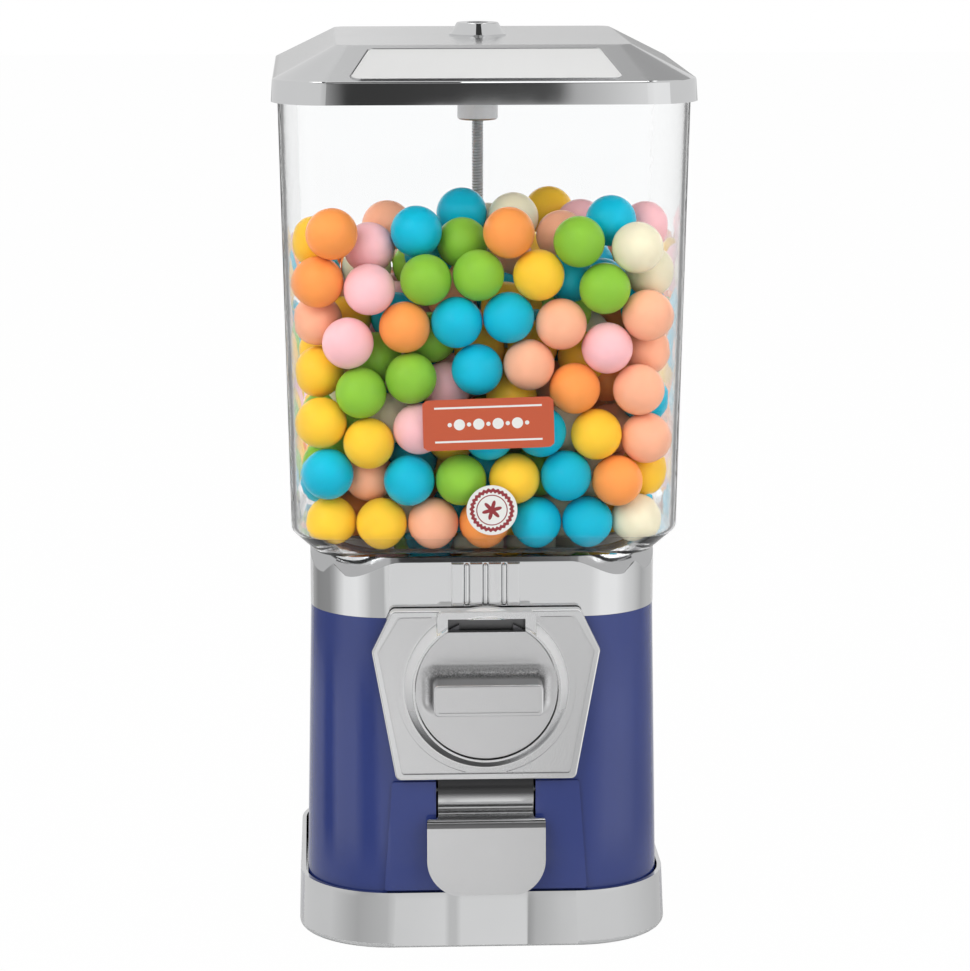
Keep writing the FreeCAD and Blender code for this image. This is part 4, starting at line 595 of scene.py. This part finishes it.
def wound_spring(name, node, wire, turns):
    """Tube of radius wire swept on a helix about the node's axis, which lies along Y."""
    low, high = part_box(node)
    centre = (low + high) / 2
    coil = (high.x - low.x) / 2 - wire
    steps_in_turn = 24
    sides = 8
    along = np.linspace(0, 1, int(turns * steps_in_turn))[:, None]
    around = np.linspace(0, FULL_TURN, sides, endpoint=False)[None, :]
    angle = FULL_TURN * turns * along
    reach = coil + wire * np.cos(around)
    x = centre.x + reach * np.cos(angle)
    z = centre.z + reach * np.sin(angle)
    y = low.y + wire + (high.y - low.y - 2 * wire) * along + wire * np.sin(around)
    points = capped(np.stack([x, y + 0 * x, z], -1))
    spring = mesh_piece(
        name, points, grid_faces(points, True), "cabinet", finishes["dark_steel"])
    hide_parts(node)
    return spring


# The stickers' sizes in millimetres, and their places across and up the globe's front in metres
STICKER_MAP = "sticker"
STICKER_STAND_OFF = 0.12 * MM
LABEL_WIDTH = 61.0
LABEL_HEIGHT = 24.0
LABEL_CORNER = 1.5
LABEL_PLACE = (0.9 * MM, 255.8 * MM)
LABEL_TURN = 1.6
SEAL_RADIUS = 11.9
SEAL_PRINT = 24.5
SEAL_PLACE = (2.6 * MM, 214.7 * MM)


def globe_front(z):
    """Depth of the globe's front face at height z: a straight line between its waist and its top."""
    low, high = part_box("globe")
    waist = low.z + 11.5 * MM
    waist_half = 91.0 * MM
    top_half = (high.x - low.x) / 2
    return -(waist_half + (top_half - waist_half) * (z - waist) / (high.z - waist))


def sticker(name, outline, place, turn, material):
    """Thin sheet: rings shrink an outline towards its centre, then lie on the globe's sloping front."""
    rings = np.linspace(1, 0, 12)[:, None, None]
    sheet = rings * outline[None]
    c = math.cos(math.radians(turn))
    s = math.sin(math.radians(turn))
    x = place[0] + sheet[..., 0] * c - sheet[..., 1] * s
    z = place[1] + sheet[..., 0] * s + sheet[..., 1] * c
    points = np.stack([x, globe_front(z) - STICKER_STAND_OFF, z], -1)
    uv = sheet / np.abs(outline).max(0) * 0.5 + 0.5
    mesh_piece(name, points, grid_faces(points, True)[:, ::-1], "cabinet", material, uv)


def directions(count):
    """Unit vectors at equal steps round a circle."""
    angle = np.linspace(0, FULL_TURN, count, endpoint=False)
    return np.stack([np.cos(angle), np.sin(angle)], -1)


def rounded_rectangle(width, height, corner):
    """Outline of a superellipse, whose power grows with the size over the corner.

    At every angle the two parts of the direction, over the half sizes and raised to the power, add up to 1.
    """
    direction = directions(96)
    power = max(width, height) / corner / 2
    half = np.array([width, height]) / 2
    reach = (np.abs(direction / half) ** power).sum(-1) ** (-1 / power)
    return direction * reach[:, None]


def print_place(f, width, height):
    """The place on a sticker, right and up from its middle, in millimetres."""
    u, v = f.make("UVMap", {"uv_map": STICKER_MAP}).split()[:2]
    return (u - 0.5) * width, (v - 0.5) * height


def print_shader(f, mask, ground, ink):
    """Coated paper: ink where the mask is 1."""
    tone = f.blend(mask, linear(ground), linear(ink))
    rough = f.noise(10 * MM).spread(0.32, 0.42)
    return f.shader(Base_Color=tone, Roughness=rough, Coat_Weight=0.2)


def label_finish():
    """Orange label with two white rules and a row of white discs and dots between them."""
    f = Finish("label_print")
    u, v = print_place(f, LABEL_WIDTH, LABEL_HEIGHT)
    sharp = 0.15
    rules = (v.abs() - 8.0).abs().below(0.45, sharp) * u.abs().below(25.0, sharp)
    row = u.abs().below(19.5, sharp)
    half_step = 4.5
    beat = u.math("PINGPONG", half_step)
    discs = distance(beat - half_step, v).below(2.6, sharp) * row
    dots = distance(beat, v).below(1.0, sharp) * row
    return f.done(print_shader(f, rules.at_least(discs).at_least(dots), STICKER_ORANGE, STICKER_WHITE))


def seal_finish():
    """White round seal: a toothed dark red ring, a thin inner ring and a plain star of petals."""
    f = Finish("seal_print")
    u, v = print_place(f, SEAL_PRINT, SEAL_PRINT)
    radius = distance(u, v)
    angle = v.math("ARCTAN2", u)
    teeth = (angle * 28.0).math("SINE") * 0.35
    ring = (radius - 9.6 + teeth).abs().below(0.9, soft=0.15)
    thin = (radius - 7.3).abs().below(0.25, soft=0.12)
    petals = (radius - ((angle * 6.0).math("SINE") * 1.5 + 3.4)).below(0.0, soft=0.2)
    return f.done(print_shader(f, ring.at_least(thin).at_least(petals), STICKER_WHITE, SEAL_RED))


# Dressing

finishes = {
    "chrome": chrome_finish("chrome"),
    "blue_paint": paint_finish(),
    "clear": clear_finish(),
    "steel": metal_finish("steel", (0.42, 0.44, 0.46), 0.34, 2.0 * MM),
    "grey_cast": metal_finish("grey_cast", (0.60, 0.60, 0.61), 0.45, 0.8 * MM),
    "dark_steel": metal_finish("dark_steel", (0.16, 0.16, 0.17), 0.35, 1.5 * MM),
    "brass": metal_finish("brass", (0.62, 0.42, 0.16), 0.3, 1.5 * MM),
    "white_plastic": moulded_finish("white_plastic", (0.78, 0.78, 0.76), 0.42),
    "grey_plastic": moulded_finish("grey_plastic", (0.22, 0.22, 0.23), 0.45),
    "rubber": moulded_finish("rubber", (0.03, 0.03, 0.032), 0.75),
}
for colour in GUM:
    finishes["gum_" + colour] = gum_finish(colour)
special = {
    # The shade masks here paint shade into these finishes, and the plate's sand mask paints a highlight
    "lid": chrome_finish("lid_chrome", satin=lid_satin_mask, sand=lid_panel_mask, shade=lid_step_shade_mask),
    "collar": chrome_finish("collar_chrome", shade=bevel_shade_mask),
    "chute_flap": chrome_finish("flap_chrome", satin=flap_mask, shade=roll_shade_mask),
    "hopper": moulded_finish("hopper_plastic", (0.45, 0.45, 0.45), 0.35),
    "dial": chrome_finish("dial_chrome", satin=all_over, shade=bar_shade_mask),
    "mech_plate": chrome_finish(
        "plate_chrome", satin=plate_mask, sand=plate_highlight_mask, shade=slot_shade_mask, pale=HIGHLIGHT_PALE),
    "lock_washer": finishes["chrome"],
    "coin_wheel": finishes["dark_steel"],
}
slot_of = {part["node"]: part["material_slot"] for part in frame["record"]["subparts"]}
for name, node in frame["nodes"].items():
    node.data.materials.clear()
    node.data.materials.append(special.get(name, finishes[slot_of[name]]))

threaded_rod()
wound_spring("pawl_coil", "pawl_spring", 0.5 * MM, 6)
dog_coil = wound_spring("dog_coil", "dog_spring", 0.35 * MM, 4.5)
spring_low, spring_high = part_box("dog_spring")
dog_travel = next(
    joint["range_m"][1] for joint in frame["record"]["behaviour"]["joints"] if joint["name"] == "dog_slide")
1 - dog_travel / (spring_high.y - spring_low.y)
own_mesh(dog_coil)
label_outline = rounded_rectangle(LABEL_WIDTH * MM, LABEL_HEIGHT * MM, LABEL_CORNER * MM)
sticker("orange_label", label_outline, LABEL_PLACE, LABEL_TURN, label_finish())
sticker("round_seal", SEAL_RADIUS * MM * directions(72), SEAL_PLACE, 0, seal_finish())


# Studio, whose cards show only in bright metal and gloss

SEEN = ("Is Camera Ray", "Is Transmission Ray")
MIRRORED = ("Is Glossy Ray",)
FLOOR_REACH = 6.0
ONE_QUAD = ((0, 1, 2, 3),)

# The card that the lid's rim mirrors: a light strip at the rim's foot, a dark field, and light at its ends
RIM_DEPTH = -2.1
RIM_HEIGHTS = (0.3, 0.4665, 0.4692, 0.62)
RIM_ACROSS = (-0.5, -0.08, -0.062, -0.05, 0.008, 0.045, 0.155, 0.169, 0.184, 0.22, 0.262, 0.8, 3.0)
RIM_FOOT_TONES = (0.78, 0.55, 0.30, 0.05, 0.08, 0.60, 0.65, 0.65, 0.62, 0.70, 0.92, 1.05, 1.05)
RIM_FIELD_TONES = (0.78, 0.55, 0.23, 0.05, 0.055, 0.06, 0.07, 0.12, 0.52, 0.70, 0.92, 1.05, 1.05)

# The card behind, that the lid's top and slopes mirror
BACK_DEPTH = 3.0
BACK_HEIGHTS = (0.2, 0.44, 0.52, 0.57, 0.62, 0.85)
BACK_ACROSS = (-0.5, -0.15, -0.06, 0.08, 0.34, 0.7)
BACK_TONES = (
    (0.78, 0.78, 0.78, 0.70, 0.45, 0.45),
    (0.70, 0.70, 0.78, 0.70, 0.45, 0.45),
    (0.58, 0.58, 0.78, 0.72, 0.60, 0.60),
    (0.58, 0.60, 0.80, 0.72, 0.67, 0.67),
    (0.80, 0.82, 0.82, 0.70, 0.66, 0.66),
    (0.80, 0.82, 0.82, 0.70, 0.66, 0.66),
)

# The dark card above the camera
FRONT_DEPTH = -2.15
FRONT_HEIGHTS = (0.66, 1.4)
FRONT_ACROSS = (-0.7, 0.8)
FRONT_TONE = 0.05

# Level cards: name, left, right, front, back, height, tone
LEVEL_CARDS = (
    ("ceiling_wings", -0.7, 0.8, -2.15, -1.2, 2.02, 0.35),
    ("ceiling_tongue", -0.14, 0.18, -2.1, -1.2, 2.0, 0.05),
    ("ceiling_flag", -0.22, 0.44, -1.2, 0.28, 2.0, 0.05),
    ("ceiling_strip", -0.25, 0.7, 0.28, 0.45, 2.0, 2.5),
    ("ceiling_back", -0.15, 0.35, 0.45, 2.4, 2.0, (0.78, 0.42, 0.42, 0.78)),
    ("ceiling_side", 0.35, 1.8, 0.8, 4.0, 2.0, 0.44),
    ("rim_glint", -0.008, 0.088, -0.17, -0.10, 0.5, 2.5),
)

# Floor in front of the base: tones by millimetres along its wall, which fade to plain by metres from it
FRONT_FLOOR_TONES = (
    (-44.5, 0.78), (-20, 0.84), (-17.5, 0.66), (-14.5, 0.66), (-12, 0.84), (19.4, 0.86), (20.2, 0.42),
    (24, 0.58), (36, 0.72), (44.5, 0.77))
FRONT_FLOOR_AWAY = (0.0, 0.05, 0.105, 0.125, 0.15)
FRONT_FLOOR_FADE = (0.0, 0.0, 0.0, 0.5, 1.0)
FRONT_FLOOR_PLAIN = 0.65
FRONT_FLOOR_HEIGHT = 0.6 * MM

# Floor round the front corners: tones by degrees of turn from straight ahead, near, farther and far
LEFT_FLOOR = (
    ((0, 0.78), (3, 0.70), (8, 0.60), (46, 0.50), (56, 0.55), (85, 0.72), (130, 0.72)),
    ((0, 1.1), (16, 1.0), (27, 0.30), (40, 0.30), (54, 1.2), (84, 1.2), (95, 0.2), (106, 0.2), (116, 0.7),
     (130, 0.7)),
    ((0, 0.84), (4, 0.84), (7, 0.58), (26, 0.62), (36, 0.88), (48, 1.05), (70, 1.0), (80, 0.74), (90, 0.46),
     (98, 0.34), (130, 0.30), (150, 0.5)),
)
RIGHT_FLOOR = (
    ((0, 0.78), (60, 0.78), (90, 0.72), (130, 0.62)),
    ((0, 0.6), (20, 0.65), (34, 1.0), (44, 1.3), (68, 1.3), (84, 1.0), (98, 0.6), (112, 0.5), (130, 0.5)),
    ((0, 0.84), (18, 0.86), (34, 1.05), (58, 1.05), (76, 0.86), (92, 0.74), (110, 0.5), (130, 0.6)),
)
FAN_TURN = 150
FAN_REACH = (0.004, 0.06, 0.12, 0.2, 0.3, 0.5, 0.68, 0.9, 1.7)
FAN_NEAR_ENDS = (0.12, 0.2)
FAN_FAR_STARTS = (0.5, 0.68)
FAN_HEIGHT = 0.4 * MM
CORNER_CENTRE = 44.5 * MM
CORNER_RADIUS = 46.0 * MM

# Softboxes: name, place, size, power, and whether polished metal mirrors it
LAMPS = (
    ("key", (-1.3, -1.5, 1.7), (1.4, 1.4), 18.5, False),
    ("fill", (1.5, -1.2, 1.1), (1.2, 1.4), 11, False),
    ("top", (0.0, 0.2, 2.2), (1.2, 1.2), 10.5, True),
)
LAMP_TARGET = (0, 0, 0.2)

# Strength of the sky as a light, and what is added where it is seen and where it is mirrored
SKY_LIGHT = 0.43
SKY_SEEN = 0.57
SKY_MIRRORED = 0.35
# Share of plain white in the floor as it is seen; the rest is lit, and shows the shadow
FLOOR_GLOW = 0.985


def rays(tree, kinds):
    """1 for rays of the named kinds."""
    share = Value.make(tree, "LightPath", output=kinds[0])
    for kind in kinds[1:]:
        share = share.at_least(Value.make(tree, "LightPath", output=kind))
    return share


def level(left, right, front, back, height):
    """Corners of a level rectangle."""
    return [(left, front, height), (right, front, height), (right, back, height), (left, back, height)]


def stage_mesh(name, points, faces, material):
    """Card or floor of the studio."""
    mesh = bpy.data.meshes.new(name)
    mesh.from_pydata(np.asarray(points).reshape(-1, 3).tolist(), [], np.asarray(faces).tolist())
    mesh.materials.append(material)
    card = bpy.data.objects.new(name, mesh)
    bpy.context.scene.collection.objects.link(card)
    return card


def mirror_card(name, points, tones, faces=ONE_QUAD):
    """Card with a tone at each point, that only shows in bright metal and gloss, as a studio's flags do."""
    f = Finish(name)
    shade = f.make("VertexColor", {"layer_name": "tone"})
    glow = f.make("Emission", None, {"Color": shade, "Strength": 1.0})
    card = stage_mesh(name, points, faces, f.done(glow))
    colours = np.ones((len(card.data.vertices), 4), np.float32)
    colours[:, :3] = np.broadcast_to(np.ravel(tones), len(colours))[:, None]
    layer = card.data.color_attributes.new("tone", "FLOAT_COLOR", "POINT")
    layer.data.foreach_set("color", colours.ravel())
    for kind in ("camera", "diffuse", "transmission", "shadow", "volume_scatter"):
        setattr(card, "visible_" + kind, False)


def floor_fan(name, side, bands):
    """Floor that a round front corner mirrors: tones by the turn from straight ahead, at three distances.

    Every point lies where a ray goes that leaves the corner's wall at half the turn. The base mirrors the
    near floor, the body the middle one and the collar the far one.
    """
    turn = np.arange(0.0, FAN_TURN + 1)[None, :]
    reach = np.array(FAN_REACH)[:, None]
    normal = np.radians(turn / 2)
    along = np.radians(turn)
    x = side * (CORNER_CENTRE + CORNER_RADIUS * np.sin(normal) + reach * np.sin(along))
    y = -(CORNER_CENTRE + CORNER_RADIUS * np.cos(normal) + reach * np.cos(along))
    points = np.stack([x, y, FAN_HEIGHT + 0 * x], -1)
    close = np.interp(reach, FAN_NEAR_ENDS, (1, 0))
    distant = np.interp(reach, FAN_FAR_STARTS, (0, 1))
    shares = (close, 1 - close - distant, distant)
    tones = sum(share * np.interp(turn, *zip(*band)) for share, band in zip(shares, bands))
    mirror_card(name, points, tones, grid_faces(points, False))


def front_floor():
    """Floor that the base's flat front mirrors: tones by place along the wall.

    Its lines run away from the camera's mirror image behind that wall, so that each looks upright.
    """
    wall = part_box("base_tray")[0].y
    across, tone = np.array(FRONT_FLOOR_TONES).T
    x = across[None, :] * MM
    away = np.array(FRONT_FLOOR_AWAY)[:, None]
    fade = np.array(FRONT_FLOOR_FADE)[:, None]
    y = wall - away + 0 * x
    fanned = x + (x - CAMERA_PLACE[0]) * away / (wall - CAMERA_PLACE[1])
    points = np.stack([fanned, y, FRONT_FLOOR_HEIGHT + 0 * y], -1)
    tones = tone[None, :] * (1 - fade) + FRONT_FLOOR_PLAIN * fade
    mirror_card("front_floor", points, tones, grid_faces(points, False))


def upright_card(name, depth, heights, across, tones):
    """Upright card facing along Y: a row of tones at each height, one for each place across."""
    x, z = np.meshgrid(across, heights)
    points = np.stack([x, depth + 0 * x, z], -1)
    mirror_card(name, points, tones, grid_faces(points, False))


def floor_finish():
    """White sweep: plain white to the eye with a trace of the shadow, and as it is lit in mirrors."""
    f = Finish("white_sweep")
    plain = f.make("BsdfDiffuse", None, {"Color": opaque(FLOOR_WHITE)})
    glow = f.make("Emission", None, {"Color": opaque(WHITE), "Strength": 1.0})
    return f.done(f.make("MixShader", None, {0: rays(f.tree, SEEN) * FLOOR_GLOW, 1: plain, 2: glow}))


def softbox(name, place, size, power, mirrored):
    """Rectangular lamp; one that isn't mirrored leaves no bright square in polished metal."""
    data = bpy.data.lights.new(name, "AREA")
    data.shape = "RECTANGLE"
    data.size, data.size_y = size
    data.energy = power
    lamp = bpy.data.objects.new(name, data)
    bpy.context.scene.collection.objects.link(lamp)
    lamp.location = place
    direction = Vector(LAMP_TARGET) - Vector(place)
    lamp.rotation_euler = direction.to_track_quat("-Z", "Y").to_euler()
    lamp.visible_glossy = mirrored


def sky():
    """Even white surroundings, plain white where they are seen."""
    world = bpy.data.worlds.new("studio")
    bpy.context.scene.world = world
    world.use_nodes = True
    tree = world.node_tree
    tree.nodes.clear()
    strength = rays(tree, SEEN) * SKY_SEEN + rays(tree, MIRRORED) * SKY_MIRRORED + SKY_LIGHT
    background = Value.make(tree, "Background", None, {"Color": opaque(WHITE), "Strength": strength})
    Value.make(tree, "OutputWorld", None, {"Surface": background})


def studio():
    """Floor, cards, lamps and sky."""
    stage_mesh(
        "floor", level(-FLOOR_REACH, FLOOR_REACH, -FLOOR_REACH, FLOOR_REACH, 0), ONE_QUAD, floor_finish())
    rim_tones = (RIM_FOOT_TONES, RIM_FOOT_TONES, RIM_FIELD_TONES, RIM_FIELD_TONES)
    upright_card("camera_flag", RIM_DEPTH, RIM_HEIGHTS, RIM_ACROSS, rim_tones)
    upright_card("back_flag", BACK_DEPTH, BACK_HEIGHTS, BACK_ACROSS, BACK_TONES)
    upright_card("front_flag", FRONT_DEPTH, FRONT_HEIGHTS, FRONT_ACROSS, FRONT_TONE)
    for name, left, right, front, back, height, tone in LEVEL_CARDS:
        mirror_card(name, level(left, right, front, back, height), tone)
    front_floor()
    floor_fan("left_floor", -1, LEFT_FLOOR)
    floor_fan("right_floor", 1, RIGHT_FLOOR)
    for lamp in LAMPS:
        softbox(*lamp)
    sky()


def camera():
    """Camera at the photograph's place; its lens follows from the focal length in pixels."""
    data = bpy.data.cameras.new("camera")
    data.sensor_fit = "HORIZONTAL"
    data.sensor_width = SENSOR_WIDTH
    data.lens = CAMERA_FOCAL_PIXELS * SENSOR_WIDTH / PHOTO_WIDTH
    view = bpy.data.objects.new("camera", data)
    bpy.context.scene.collection.objects.link(view)
    view.location = CAMERA_PLACE
    view.rotation_euler = (math.radians(90 - CAMERA_PITCH_DOWN), 0, math.radians(-CAMERA_YAW))
    bpy.context.scene.camera = view


studio()
camera()
bpy.context.scene.view_settings.view_transform = "Standard"
